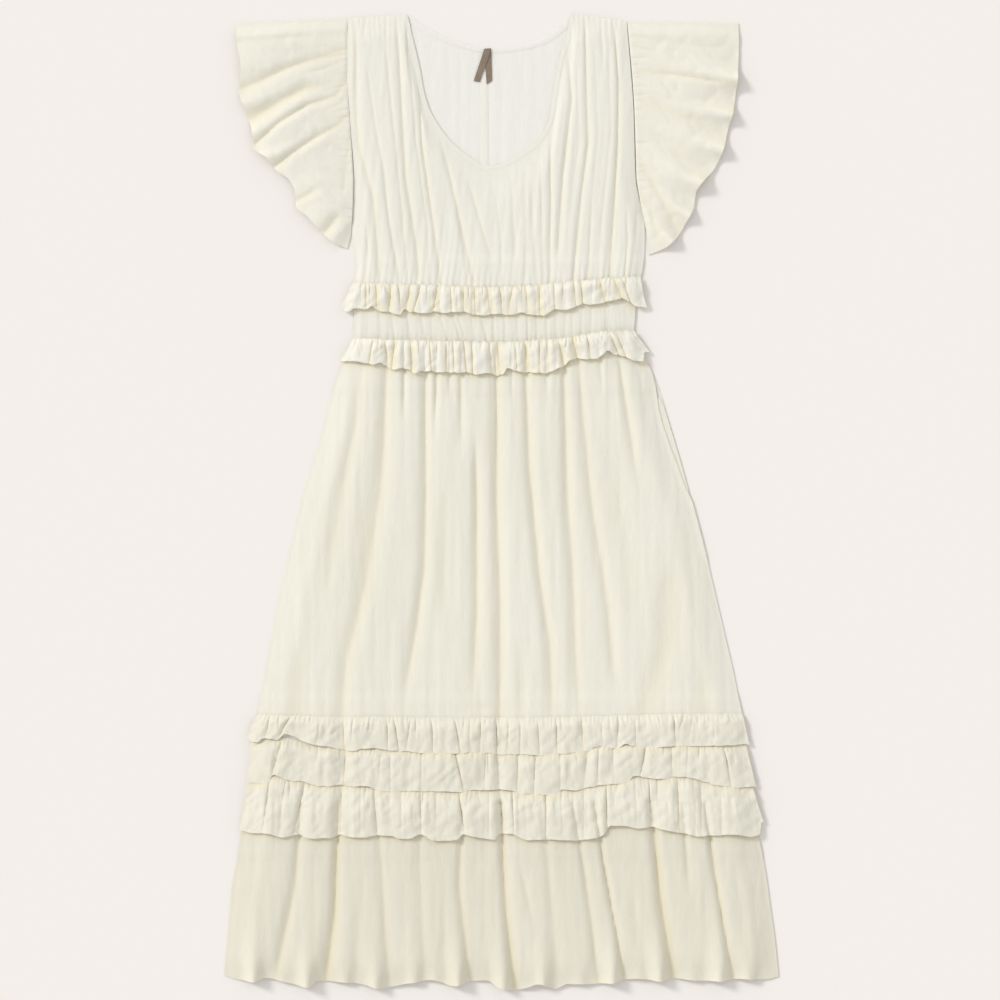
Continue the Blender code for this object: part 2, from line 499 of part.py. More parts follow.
# the back neck binding lies on the inside of the back bodice
ends = [(412.5, 18.2)] + [p for p in BACK_NECK if 418 < p[0] < 560] + [(565.8, 21.8)]
binding = []
for k, (x, y) in enumerate(ends):
    nx, ny = inward(ends, k)
    binding.append([(x, y, RISE), (x + BIND_BACK * nx, y + BIND_BACK * ny, RISE)])
shell("neck_binding_back", binding)

# a bare ribbon, folded over, hangs at the middle of the back neck
low = 2 * RISE
turn = RIBBON + GAP / 2
ribbon = []
for side in (0, 1):
    line = []
    for xl, yl, xr, yr, leg in RIBBON_ROWS:
        x, y = (xl, yl) if side == 0 else (xr, yr)
        line.append((x, y, low + turn - turn * math.cos(math.pi * leg)))
    ribbon.append(line)
shell("neck_ribbon", ribbon, RIBBON, -1.0, (0.19, 0.14, 0.10))


# ---------------------------------------------------------------- sleeves
def sleeve(name, spec, mirrored):
    """A flutter sleeve folded along its top: its back half lies on the surface, its front half over it."""
    outside = CLOTH + GAP / 2
    shares_back = np.linspace(1.0, 0.0, SLEEVE_COLUMNS // 2 + 1)
    shares_front = np.linspace(0.0, 1.0, SLEEVE_COLUMNS + 1)
    grid = []
    for u in shares_back:
        ax, ay = along(spec["armhole"], u)
        hx, hy = along(spec["hem"], u)
        line = []
        for v in SLEEVE_ROWS:
            k = v * (1.0 - 0.012 * math.sin(math.pi * u))
            line.append((ax + k * (hx - ax), ay + k * (hy - ay), 0.0))
        grid.append(line)
    for angle in (45, 90, 135):
        a = math.radians(angle)
        ax, ay = along(spec["armhole"], 0.0)
        hx, hy = along(spec["hem"], 0.0)
        shift = outside * math.sin(a) / STEP
        grid.append([(ax + v * (hx - ax), ay + v * (hy - ay) - shift, outside * (1 - math.cos(a))) for v in SLEEVE_ROWS])
    for u in shares_front:
        ax, ay = along(spec["armhole"], u)
        hx, hy = along(spec["hem"], u)
        line = []
        for v in SLEEVE_ROWS:
            left = 1.0
            for at_hem, at_armhole, half, depth in spec["folds"]:
                middle = at_armhole + v * (at_hem - at_armhole)
                left *= 1 - depth * math.exp(-(((u - middle) / half) ** 2))
            sides = ease(u / 0.09) * ease((1 - u) / 0.10)
            rise = SLEEVE_LOFT * (0.10 + 0.90 * ease(v * 1.25)) * sides * left
            line.append((ax + v * (hx - ax), ay + v * (hy - ay), 2 * outside + rise))
        grid.append(line)
    shell(name, grid if mirrored else grid[::-1], CLOTH, -1.0)


sleeve("sleeve_left", SLEEVE_LEFT, True)
sleeve("sleeve_right", SLEEVE_RIGHT, False)


# ---------------------------------------------------------------- waistband, skirt and flounce
band = panel(WAIST_COLUMNS, (0.0, 0.3, 0.7, 1.0), WAIST_TOP, WAIST_LOW,
             lambda x, y, s: front_height(WAISTBAND_FOLDS, x, y, s))
shell("waistband_front", band)
shell("waistband_back", back_panel(8, (300, 316), WAIST_TOP, WAIST_LOW))

SKIRT_ROWS = (0.0, 0.055, 0.10, 0.16, 0.24, 0.35, 0.48, 0.62, 0.79, 0.815, 0.90, 1.0)
skirt = panel(BODY_COLUMNS, SKIRT_ROWS, WAIST_LOW, TIER_SEAM,
              lambda x, y, s: front_height(SKIRT_FOLDS, x, y, s), mouth=True)
shell("skirt_front", skirt)
shell("skirt_back", back_panel(12, (350, 366, 377, 386, 413, 455, 500, 580, 640, 703, 712, 740, 775), WAIST_LOW,
                               TIER_SEAM))

flounce = panel(BODY_COLUMNS, (0.0, 0.18, 0.26, 0.5, 0.75, 1.0), TIER_SEAM, HEM,
                lambda x, y, s: front_height(FLOUNCE_FOLDS, x, y, s))
shell("flounce_front", flounce)
shell("flounce_back", back_panel(22, (820, 841, 850, 886, 930), TIER_SEAM, tuple((x, y - 1.5) for x, y in HEM)))

pocket = []
for side in (1, 2):
    pocket.append([(row[side], row[0], RISE) for row in POCKET])
shell("pocket_right", pocket)

# ---------------------------------------------------------------- frills and ruffles
tiers = [a + b for a, b in zip(skirt, flounce)]
seams_after = {
    "waist_frill_upper": lambda s: 999.0,
    "waist_frill_lower": lambda s: 999.0,
    "ruffle_1": lambda s: float(smooth(TRIM["ruffle_2"]["seam"], body_x(s, 745))) - 1.0,
    "ruffle_2": lambda s: float(smooth(TRIM["ruffle_3"]["seam"], body_x(s, 783))) - 1.0,
    "ruffle_3": lambda s: 999.0,
}
under = {
    "waist_frill_upper": lambda s, y: facet_top(band, s, y),
    "waist_frill_lower": lambda s, y: facet_top(skirt, s, y),
    "ruffle_1": lambda s, y: facet_top(tiers, s, y),
    "ruffle_2": lambda s, y: facet_top(tiers, s, y),
    "ruffle_3": lambda s, y: facet_top(tiers, s, y),
}
for name, spec in TRIM.items():
    columns = 2 * (WAIST_COLUMNS if name == "waist_frill_upper" else BODY_COLUMNS)
    shell(name + "_front", trim_front(columns, (0.0, 0.3, 1.0), spec, under[name]))
    shell(name + "_back", trim_back(columns // 3, spec, seams_after[name]))

bpy.context.view_layer.update()
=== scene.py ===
"""Gathered ivory midi dress laid flat on its back, seen from straight above."""

import math

import bpy
import numpy as np
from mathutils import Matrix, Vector


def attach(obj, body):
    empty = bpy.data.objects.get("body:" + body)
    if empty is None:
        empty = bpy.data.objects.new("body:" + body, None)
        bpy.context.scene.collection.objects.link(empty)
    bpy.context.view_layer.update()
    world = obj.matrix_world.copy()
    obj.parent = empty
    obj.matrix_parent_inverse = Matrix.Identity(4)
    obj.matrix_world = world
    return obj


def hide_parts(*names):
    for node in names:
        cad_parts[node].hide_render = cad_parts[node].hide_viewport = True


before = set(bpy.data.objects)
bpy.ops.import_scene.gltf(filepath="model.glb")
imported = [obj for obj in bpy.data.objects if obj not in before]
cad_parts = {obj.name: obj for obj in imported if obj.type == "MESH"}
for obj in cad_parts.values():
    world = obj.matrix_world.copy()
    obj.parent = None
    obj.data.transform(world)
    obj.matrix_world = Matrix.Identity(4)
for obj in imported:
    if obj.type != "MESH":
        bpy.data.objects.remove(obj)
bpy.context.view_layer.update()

# ---------------------------------------------------------------- sizes, metres
STEP = 0.00123          # one step of the lay-out grid
CENTRE_X = 501.44       # grid column and row of the middle of the outline
CENTRE_Y = 501.30
CLOTH = 0.0006          # thickness of the gauze, hems included
RISE = 0.0010           # what one layer adds to the height of the next
SEAM = 0.20             # clearance between pieces sewn edge to edge, in steps
LOFT = 0.0076           # how far the front panels stand off the back ones between their folds
EDGE_EASE = 30.0        # steps from the side seam over which the front rises to its loft
FRILL_LIFT = 0.0060     # how far the waist frills stand off
RUFFLE_LIFT = 0.0060    # how far the skirt ruffles stand off
SLEEVE_LOFT = 0.0098    # how far the upper half of a sleeve stands off at its hem
BIND_FRONT = 4.5        # width of the front neck binding, steps
BIND_BACK = 5.5         # width of the back neck binding, steps
KEY_LIGHT = 1.62
FILL_LIGHT = 0.80

# ---------------------------------------------------------------- outline tables
# y, x of the left and of the right side edge of the body, armhole seam down to the hem
LEFT_EDGE = (
    (12, 347), (71, 347), (121, 350), (179, 354), (232, 352), (250, 354), (266, 357), (283, 353.5),
    (300, 353), (316, 354), (337, 353), (350, 349), (366, 341), (396, 331), (430, 322.5), (460, 314),
    (490, 304), (520, 297), (550, 290), (580, 283), (610, 276), (640, 270.5), (670, 265), (700, 260),
    (714, 257), (735, 253), (760, 251), (800, 246), (836, 241), (860, 237), (886, 232), (930, 228), (977, 224),
)
RIGHT_EDGE = (
    (12, 627), (64, 631), (107, 634), (179, 636), (229, 645), (250, 644.5), (271, 642), (278, 640),
    (300, 636), (316, 635), (330, 634), (345, 640), (370, 651), (393, 661), (413, 667), (437, 674),
    (455, 679.5), (478, 686), (500, 692), (550, 705), (580, 712), (610, 719), (640, 726), (670, 733),
    (700, 739), (714, 742), (740, 745), (785, 751), (820, 756), (838, 759), (874, 766), (904, 770),
    (940, 775), (979, 779),
)
# y, how far the front skirt is set back from the right side seam: the mouth of the pocket
POCKET_MOUTH = ((0, 0), (372, 0), (384, 2.2), (396, 5.0), (408, 7.0), (422, 7.6), (447, 6.5), (463, 5), (480, 4), (492, 2), (502, 0),
                (999, 0))
# x, y of the neck edge of the front bodice, and of the shoulder seams on each side of it
LEFT_SHOULDER = ((347, 17.5), (357, 17), (367, 16.5), (377, 16), (387, 15.3), (397, 14.6), (406, 14))
FRONT_NECK = (
    (406, 14), (412, 36), (417, 56), (420.5, 72), (424, 92), (430, 110), (438, 124), (449, 139), (461, 150),
    (473, 159), (486, 165.5), (498, 164), (510, 159), (524, 150), (537, 140), (546, 126), (550, 114),
    (553, 92), (556.5, 71), (561, 52), (566, 38), (572, 14),
)
RIGHT_SHOULDER = ((572, 14), (581, 15), (590, 16), (600, 17.3), (609, 18.5), (618, 19.8), (627, 21))
# x, y of the neck edge of the back bodice
BACK_NECK = ((406, 14), (420, 23), (434, 31), (448, 37), (463, 42), (484, 46.5), (498, 47), (513, 45.5), (528, 43),
             (541, 39), (553, 32.5), (563, 25), (572, 14))
CENTRE_BACK = 484.0     # grid column of the centre back seam
# x, y of the seams across the body
WAIST_TOP = ((340, 282), (420, 285), (495, 287), (560, 283), (600, 279), (645, 276))
WAIST_LOW = ((340, 338), (420, 341), (495, 342.5), (560, 339), (600, 333), (645, 330))
TIER_SEAM = ((230, 799), (500, 801), (770, 799))
HEM = (
    (224, 976), (240, 980), (252, 981), (266, 978), (285, 982), (308, 986), (318, 981), (334, 981.5), (352, 982.5),
    (366, 985), (382, 988), (398, 985.5), (412, 982.5), (432, 980), (452, 985), (472, 981), (486, 980.5),
    (500, 987), (514, 990), (526, 988), (540, 983.5), (555, 989), (568, 984), (590, 984), (612, 982), (636, 978.5),
    (660, 980), (674, 978.5), (700, 980.5), (722, 980), (744, 978.5), (766, 979.5), (779, 977),
)

# ---------------------------------------------------------------- frills and ruffles
# each: x, y along the free edge, then x at the seam, x at the free edge, half width, depth of every fold
FRILL_UPPER = {
    "edge": ((341, 307.5), (348, 311), (356, 308.5), (367, 310), (372, 307), (377, 311), (388, 312.5), (400, 314.5),
             (404, 310), (411, 313), (424, 313), (436, 312.5), (446, 313), (463, 312), (478, 316), (490, 315),
             (500, 314), (507, 315.5), (521, 312.5), (530, 315), (541, 316), (556, 309.5), (565, 310), (584, 304.5),
             (601, 304), (612, 300.5), (622, 299), (629, 303), (640, 307), (648, 307.5)),
    "folds": ((366, 366.5, 5, 0.7), (376, 377, 6, 0.9), (391.5, 389, 6, 0.8), (410.5, 406, 6, 0.9), (421, 413.5, 5, 0.8),
              (437.5, 433.5, 6, 0.9), (450.5, 451.5, 5, 0.6), (463.5, 463.5, 6, 0.8), (474.5, 475.5, 6, 0.8),
              (487, 491, 6, 0.7), (500, 502, 5, 0.5), (513, 508, 6, 0.6), (525, 529, 6, 0.6), (539.5, 540, 6, 0.9),
              (554, 555, 5, 0.6), (573.5, 576, 5, 0.7), (580.5, 583, 5, 0.9), (599, 605.5, 6, 0.7), (613, 622, 6, 0.8),
              (621, 630.5, 5, 0.7)),
}
FRILL_LOWER = {
    "edge": ((341, 361), (352, 361.5), (362, 363.5), (370, 365), (376, 362.5), (383, 366), (392, 370.5), (399, 368.5),
             (407, 369.5), (414, 374), (422, 371), (435, 372), (452, 373), (466, 373), (476, 375), (488, 373.5),
             (498, 376), (503, 375), (508, 368), (516, 371), (530, 373.5), (544, 373.5), (556, 370), (567, 366),
             (573, 361), (584, 359), (598, 359.5), (608, 355), (617, 350.5), (622, 355), (632, 357), (640, 361),
             (648, 361), (654, 352)),
    "folds": ((374, 369.5, 5, 0.7), (385, 388, 5, 0.6), (395.5, 392, 6, 0.8), (410.5, 412, 6, 0.8), (430, 432, 5, 0.8),
              (446.5, 446.5, 5, 0.7), (453, 454.5, 5, 0.7), (463.5, 466.5, 5, 0.8), (471.5, 473, 5, 0.8),
              (489.5, 492.5, 5, 0.7), (497.5, 500.5, 6, 0.9), (514.5, 517, 5, 0.6), (525, 529, 6, 0.8),
              (539.5, 539.5, 5, 0.7), (548, 549, 5, 0.4), (558, 564, 6, 0.8), (572.5, 577, 6, 0.8), (586, 590, 5, 0.6),
              (609, 619, 5, 0.8), (616, 626, 5, 0.6)),
}
RUFFLE_1 = {
    "edge": ((247, 738), (252, 741.5), (257, 742), (262, 738), (270, 738), (277, 740), (284, 733.5), (292, 735),
             (303, 741), (316, 745), (330, 746.5), (340, 749), (355, 750.5), (363, 748), (375, 747), (390, 749.7),
             (408, 751), (420, 752), (441, 753.3), (461, 753), (470, 751.5), (477, 753.3), (489, 752.4), (496, 754.6),
             (517, 753.3), (540, 755), (557, 753.5), (577, 751.5), (590, 751), (595, 746), (603, 746), (618, 748),
             (626, 743), (636, 746.5), (652, 748), (664, 746), (682, 745.5), (697, 746), (720, 745), (749, 744)),
    "folds": ((270, 266, 6, 0.7), (292, 279, 7, 0.9), (320, 317, 7, 0.5), (343, 345, 7, 0.95), (370, 368, 7, 0.4),
              (387, 388, 6, 0.7), (393.5, 399, 6, 0.8), (411, 406, 6, 0.6), (431, 433, 7, 0.7), (454, 461, 7, 0.8),
              (470, 471, 6, 0.5), (481.5, 480, 6, 0.6), (496, 497, 7, 0.95), (509, 507, 6, 0.6), (520, 520, 6, 0.6),
              (537, 540, 7, 0.8), (556, 557, 7, 0.8), (581.5, 583, 7, 0.8), (601.5, 603, 6, 0.6), (618, 619, 6, 0.7),
              (635, 636, 7, 0.7), (650, 651, 6, 0.4), (673, 676, 7, 0.9), (692, 688, 7, 0.8), (714, 714, 6, 0.4)),
}
RUFFLE_2 = {
    "edge": ((249, 782.5), (267, 782.5), (272, 774.5), (280, 777), (290, 780), (303, 781), (312, 784), (325, 785.5),
             (340, 785), (352, 785.5), (368, 785.5), (378, 789.5), (397, 790.4), (420, 790.4), (444, 790.4),
             (462, 792), (472, 789.5), (497, 789), (514, 790.4), (520, 793), (533, 793), (550, 794.4), (558, 793.5),
             (562, 789), (575, 789.5), (594, 785.5), (611, 783.5), (628, 781), (634, 775.5), (648, 777), (664, 778.5),
             (676, 776), (690, 777), (706, 781), (722, 785.5), (743, 787), (755, 786)),
    "folds": ((283, 272, 8, 0.8), (318, 312, 8, 0.4), (346, 344, 8, 0.95), (382, 379, 8, 0.5), (390, 390, 7, 0.5),
              (422, 420, 8, 0.5), (454, 464.5, 7, 0.8), (488, 487, 8, 0.7), (518, 519.5, 7, 0.8), (536, 534, 7, 0.7),
              (556, 558, 7, 0.5), (570, 568.5, 7, 0.5), (585, 583, 7, 0.6), (592, 595, 8, 0.6), (613, 614, 7, 0.4),
              (646, 637, 7, 0.8), (670, 670, 9, 0.9), (688, 686, 7, 0.5), (722.5, 731, 7, 0.7)),
}
RUFFLE_3 = {
    "edge": ((240, 830), (254, 832.5), (268, 833), (283, 836.5), (298, 834), (308, 837), (329, 837), (340, 834.6),
             (352, 836.4), (365, 836), (380, 834.6), (392, 835), (400, 837.7), (410, 837.5), (420, 834), (434, 839),
             (448, 840), (457, 839), (464, 834), (480, 836.4), (494, 839), (499, 834), (511, 833), (527, 839),
             (548, 838.5), (568, 839.5), (590, 838), (598, 836.5), (604, 833), (612, 825), (628, 825), (640, 827.5),
             (652, 826.5), (665, 829), (680, 832), (700, 835), (735, 833.5), (752, 836), (760, 834), (764, 822)),
    "folds": ((271, 263, 7, 0.8), (287, 279, 8, 0.4), (306, 297, 8, 0.8), (342, 341, 9, 0.95), (374, 380, 8, 0.7),
              (400, 400, 7, 0.5), (418, 420, 9, 0.6), (435, 436, 7, 0.4), (458, 464, 7, 0.8), (489, 489, 7, 0.6),
              (498, 505, 9, 0.95), (512, 514, 7, 0.5), (545, 545, 7, 0.6), (562, 563, 7, 0.4), (584, 585, 8, 0.7),
              (597, 597, 8, 0.5), (606, 607, 7, 0.8), (634, 636, 7, 0.5), (650, 651, 8, 0.8), (676, 680, 9, 0.9),
              (703, 705, 7, 0.5), (721, 724, 7, 0.5)),
}
# name, seam as x, y; overhang of the free edge past the body on the left and on the right; lift
TRIM = {
    "waist_frill_upper": dict(seam=WAIST_TOP, nudge=1.2, over=(12.5, 11.5), lift=FRILL_LIFT, shape=FRILL_UPPER),
    "waist_frill_lower": dict(seam=WAIST_LOW, nudge=1.2, over=(3.5, 6.5), lift=FRILL_LIFT, shape=FRILL_LOWER),
    "ruffle_1": dict(seam=((230, 716), (257, 716), (320, 717.5), (500, 718.5), (600, 717), (690, 715), (745, 715)),
                     nudge=0.0, over=(6.0, 4.0), lift=RUFFLE_LIFT, shape=RUFFLE_1),
    "ruffle_2": dict(seam=((230, 740), (285, 739.5), (300, 743), (340, 747), (560, 749), (590, 745), (630, 742.5),
                           (660, 744), (750, 743)),
                     nudge=0.0, over=(1.0, 4.5), lift=RUFFLE_LIFT, shape=RUFFLE_2),
    "ruffle_3": dict(seam=((230, 777), (272, 772.5), (300, 778), (340, 783), (440, 787), (540, 789), (600, 782),
                           (634, 774), (680, 774), (750, 782)),
                     nudge=0.0, over=(2.0, 7.0), lift=RUFFLE_LIFT, shape=RUFFLE_3),
}
# y where the back panels start to rise, lie on the back frills, still do, and are down again
PROPPED = ((267, 275, 377, 386), (703, 712, 841, 850))

# ---------------------------------------------------------------- sleeves
# armhole: x, y from the shoulder to the underarm; hem: x, y from the top fold to the underarm
SLEEVE_LEFT = {
    "armhole": ((346.0, 17.5), (346.0, 46), (346.0, 71), (347.2, 98), (348.9, 121), (351.0, 150), (352.8, 179),
                (352.4, 205), (351.0, 232)),
    "hem": ((236, 23), (237, 43), (241, 66), (239, 90), (246, 112), (252, 132), (253, 147), (266, 158), (277, 171),
            (289, 180), (295, 192), (296, 206), (308, 217), (319, 229), (333, 242), (347, 248.5)),
    # place along the hem (share), place along the armhole (share), half width (share), depth (share)
    "folds": ((0.10, 0.06, 0.030, 0.45), (0.205, 0.13, 0.040, 0.80), (0.31, 0.20, 0.035, 0.55),
              (0.44, 0.30, 0.040, 0.85), (0.56, 0.47, 0.035, 0.75), (0.69, 0.62, 0.035, 0.80),
              (0.84, 0.80, 0.035, 0.60)),
}
SLEEVE_RIGHT = {
    "armhole": ((628.2, 21), (630.4, 45), (632.2, 64), (633.9, 86), (635.2, 107), (636.4, 143), (637.4, 179),
                (641.4, 205), (646.4, 229)),
    "hem": ((738.5, 23), (739, 45), (738, 70), (736, 92), (733, 112), (728.5, 128), (724, 147), (715, 168),
            (703, 182), (696, 193), (694, 207), (686, 223), (678, 236), (667, 247), (649, 254.5)),
    "folds": ((0.09, 0.07, 0.030, 0.40), (0.20, 0.21, 0.040, 0.80), (0.33, 0.33, 0.040, 0.55),
              (0.46, 0.44, 0.035, 0.50), (0.62, 0.55, 0.035, 0.60), (0.76, 0.68, 0.040, 0.75),
              (0.90, 0.82, 0.030, 0.50)),
}

# y; x of the left and right edge of the pocket bag
POCKET = ((398, 640, 659.5), (405, 625, 663.5), (430, 618, 671.2), (460, 617, 680.2), (490, 620, 688.6),
          (515, 628, 689), (540, 640, 680), (556, 654, 669))

# ribbon: x, y of its left edge; x, y of its right edge; turn (0 = lower leg, 1 = upper leg)
RIBBON_ROWS = (
    (486.6, 84.0, 492.2, 80.5, 0.0), (484.4, 51.0, 491.2, 50.0, 0.0), (484.2, 49.1, 491.0, 48.4, 0.25),
    (484.1, 48.5, 490.9, 48.0, 0.5), (484.0, 49.1, 490.8, 48.9, 0.75), (483.6, 51.0, 490.3, 51.9, 1.0),
    (473.6, 80.6, 479.8, 81.8, 1.0),
)



# ---------------------------------------------------------------- folds
# Each fold is a soft trough: points x, y along it, then half width (steps), depth (share of the loft),
# fade at its start and end (steps), and how sharp its bottom is (0 round, 1 creased).
BODICE_FOLDS = (
    (((356, 14), (356, 107), (358, 143), (374, 200), (380, 282)), 5.5, 0.62, 4, 8, 0.4),
    (((365, 14), (363, 42)), 3.0, 0.55, 3, 16, 0.5),
    (((375, 14), (374, 34)), 2.6, 0.40, 3, 14, 0.5),
    (((386, 13), (387, 60)), 3.0, 0.35, 3, 30, 0.4),
    (((381, 150), (389, 220), (400, 284)), 4.5, 0.58, 50, 4, 0.4),
    (((396, 12), (399, 54), (406, 179), (416, 243), (420, 284)), 5.0, 0.62, 10, 10, 0.35),
    (((420, 100), (422, 143), (438, 257), (441, 286)), 5.0, 0.62, 16, 4, 0.35),
    (((438, 130), (449, 171), (475, 286)), 5.0, 0.55, 20, 6, 0.3),
    (((467, 176), (478, 214), (492, 262)), 5.0, 0.34, 24, 24, 0.2),
    (((511, 172), (515, 262)), 5.0, 0.32, 24, 26, 0.2),
    (((530, 168), (534, 240), (536, 286)), 4.0, 0.30, 40, 6, 0.3),
    (((550, 128), (551, 200), (550, 286)), 4.5, 0.55, 30, 4, 0.4),
    (((566, 30), (572, 100), (563, 179), (557, 262)), 5.0, 0.60, 10, 20, 0.35),
    (((585, 14), (588, 143), (581, 200), (573, 284)), 4.5, 0.66, 5, 6, 0.4),
    (((600, 16), (604, 70)), 3.2, 0.42, 4, 30, 0.5),
    (((592, 190), (590, 240), (588, 284)), 3.6, 0.40, 40, 4, 0.4),
    (((614, 18), (618.5, 80), (618, 143), (614, 214), (609, 284)), 4.6, 0.85, 5, 6, 0.55),
    (((625, 20), (629, 46)), 2.8, 0.50, 3, 18, 0.5),
    (((634, 120), (637, 179), (637, 240)), 4.0, 0.36, 40, 16, 0.4),
    (((365, 214), (368, 250), (366, 284)), 3.6, 0.40, 30, 4, 0.4),
    (((366, 60), (376, 130), (392, 206)), 3.4, 0.26, 30, 40, 0.3),
    (((385, 40), (392, 110), (402, 208), (408, 284)), 3.4, 0.30, 20, 20, 0.35),
    (((410, 64), (416, 140), (428, 230), (430, 286)), 3.4, 0.26, 20, 6, 0.35),
    (((577, 60), (579, 140), (569, 220), (564, 284)), 3.4, 0.16, 24, 6, 0.3),
    (((594, 40), (598, 130), (592, 200)), 3.4, 0.14, 20, 40, 0.3),
    (((608, 24), (611, 130), (602, 220), (597, 284)), 3.2, 0.20, 10, 6, 0.4),
    (((523, 150), (526, 220), (525, 286)), 3.2, 0.24, 40, 8, 0.2),
    (((540, 150), (542, 220), (543, 286)), 3.2, 0.26, 40, 8, 0.2),
    (((455, 196), (463, 240), (468, 286)), 3.2, 0.30, 30, 8, 0.2),
    (((496, 190), (501, 240), (502, 286)), 3.2, 0.22, 40, 8, 0.2),
    (((626, 200), (628, 240), (625, 278)), 3.4, 0.42, 30, 4, 0.4),
)
SKIRT_FOLDS = (
    (((363, 345), (356, 421), (341, 493), (331, 564), (321, 620)), 9.0, 0.42, 4, 110, 0.1),
    (((388, 345), (384, 440), (380, 493), (366, 582), (346, 661), (341, 714), (342, 806)), 9.0, 0.62, 4, 10, 0.15),
    (((404, 345), (404, 425)), 4.5, 0.50, 4, 40, 0.4),
    (((425, 345), (426, 493), (424, 571), (415, 636), (402, 712)), 6.5, 0.78, 4, 70, 0.35),
    (((438, 345), (434, 448)), 4.5, 0.50, 4, 60, 0.4),
    (((449, 345), (450, 400)), 3.6, 0.34, 4, 36, 0.4),
    (((461, 345), (461, 456)), 4.5, 0.45, 4, 60, 0.3),
    (((475, 430), (477, 500), (477, 607), (472, 720)), 6.5, 0.80, 60, 90, 0.35),
    (((496, 345), (497, 430), (497, 500), (500, 600), (500, 700), (500, 806)), 7.5, 0.86, 4, 30, 0.4),
    (((511, 345), (512, 410)), 3.6, 0.34, 4, 40, 0.4),
    (((525, 345), (529, 464), (540, 579), (550, 643), (553, 730)), 6.5, 0.70, 4, 50, 0.3),
    (((545, 345), (547, 400)), 3.6, 0.34, 4, 36, 0.4),
    (((563, 345), (568, 500), (574, 600), (578, 722)), 6.5, 0.62, 4, 60, 0.25),
    (((577, 345), (591, 500), (606, 593), (617, 700)), 6.5, 0.55, 4, 60, 0.25),
    (((598, 345), (604, 400)), 4.0, 0.36, 4, 40, 0.3),
    (((616, 345), (626, 404), (640, 500)), 6.0, 0.58, 4, 90, 0.3),
    (((634, 345), (648, 420)), 4.0, 0.40, 4, 60, 0.3),
    (((672, 540), (668, 643), (645, 716), (650, 806)), 15.0, 0.46, 70, 20, 0.0),
    (((688, 510), (694, 620)), 6.0, 0.34, 40, 60, 0.1),
    (((305, 620), (296, 715), (290, 806)), 13.0, 0.34, 60, 20, 0.0),
    (((700, 640), (708, 806)), 12.0, 0.30, 60, 20, 0.0),
    (((372, 460), (352, 640)), 14.0, 0.22, 60, 60, 0.0),
    (((446, 470), (444, 640)), 12.0, 0.26, 60, 60, 0.0),
    (((610, 440), (640, 640)), 15.0, 0.24, 60, 60, 0.0),
    (((520, 640), (522, 720)), 10.0, 0.26, 40, 20, 0.0),
    (((452, 711), (524, 701)), 7.0, 0.16, 30, 30, 0.0),
)
FLOUNCE_FOLDS = (
    (((262, 812), (250, 900), (240, 990)), 9.0, 0.18, 30, 2, 0.0),
    (((302, 800), (295, 886), (273, 990)), 8.0, 0.60, 4, 2, 0.2),
    (((339, 794), (335, 911), (325, 992)), 8.5, 0.95, 4, 2, 0.3),
    (((377, 800), (384, 911), (390, 992)), 8.0, 0.36, 4, 2, 0.2),
    (((362, 870), (356, 992)), 8.0, 0.18, 40, 2, 0.0),
    (((418, 800), (422, 929), (426, 992)), 8.0, 0.28, 4, 2, 0.15),
    (((463, 800), (459, 886), (471, 992)), 7.0, 0.58, 4, 2, 0.3),
    (((442, 880), (446, 992)), 7.0, 0.16, 50, 2, 0.0),
    (((500, 794), (506, 911), (515, 992)), 8.0, 0.92, 4, 2, 0.35),
    (((541, 800), (552, 911), (558, 992)), 8.0, 0.26, 4, 2, 0.15),
    (((572, 800), (586, 880), (600, 992)), 6.0, 0.48, 4, 2, 0.3),
    (((594, 800), (603, 860), (616, 930), (626, 992)), 5.5, 0.78, 4, 2, 0.5),
    (((650, 794), (661, 900), (675, 992)), 8.5, 0.94, 4, 2, 0.3),
    (((682, 800), (690, 900)), 6.0, 0.44, 4, 50, 0.2),
    (((704, 800), (716, 880), (735, 992)), 6.0, 0.74, 4, 2, 0.45),
    (((735, 860), (752, 992)), 8.0, 0.18, 40, 2, 0.0),
    (((630, 880), (648, 992)), 9.0, 0.16, 40, 2, 0.0),
    (((520, 860), (534, 930)), 7.0, 0.22, 30, 30, 0.0),
)
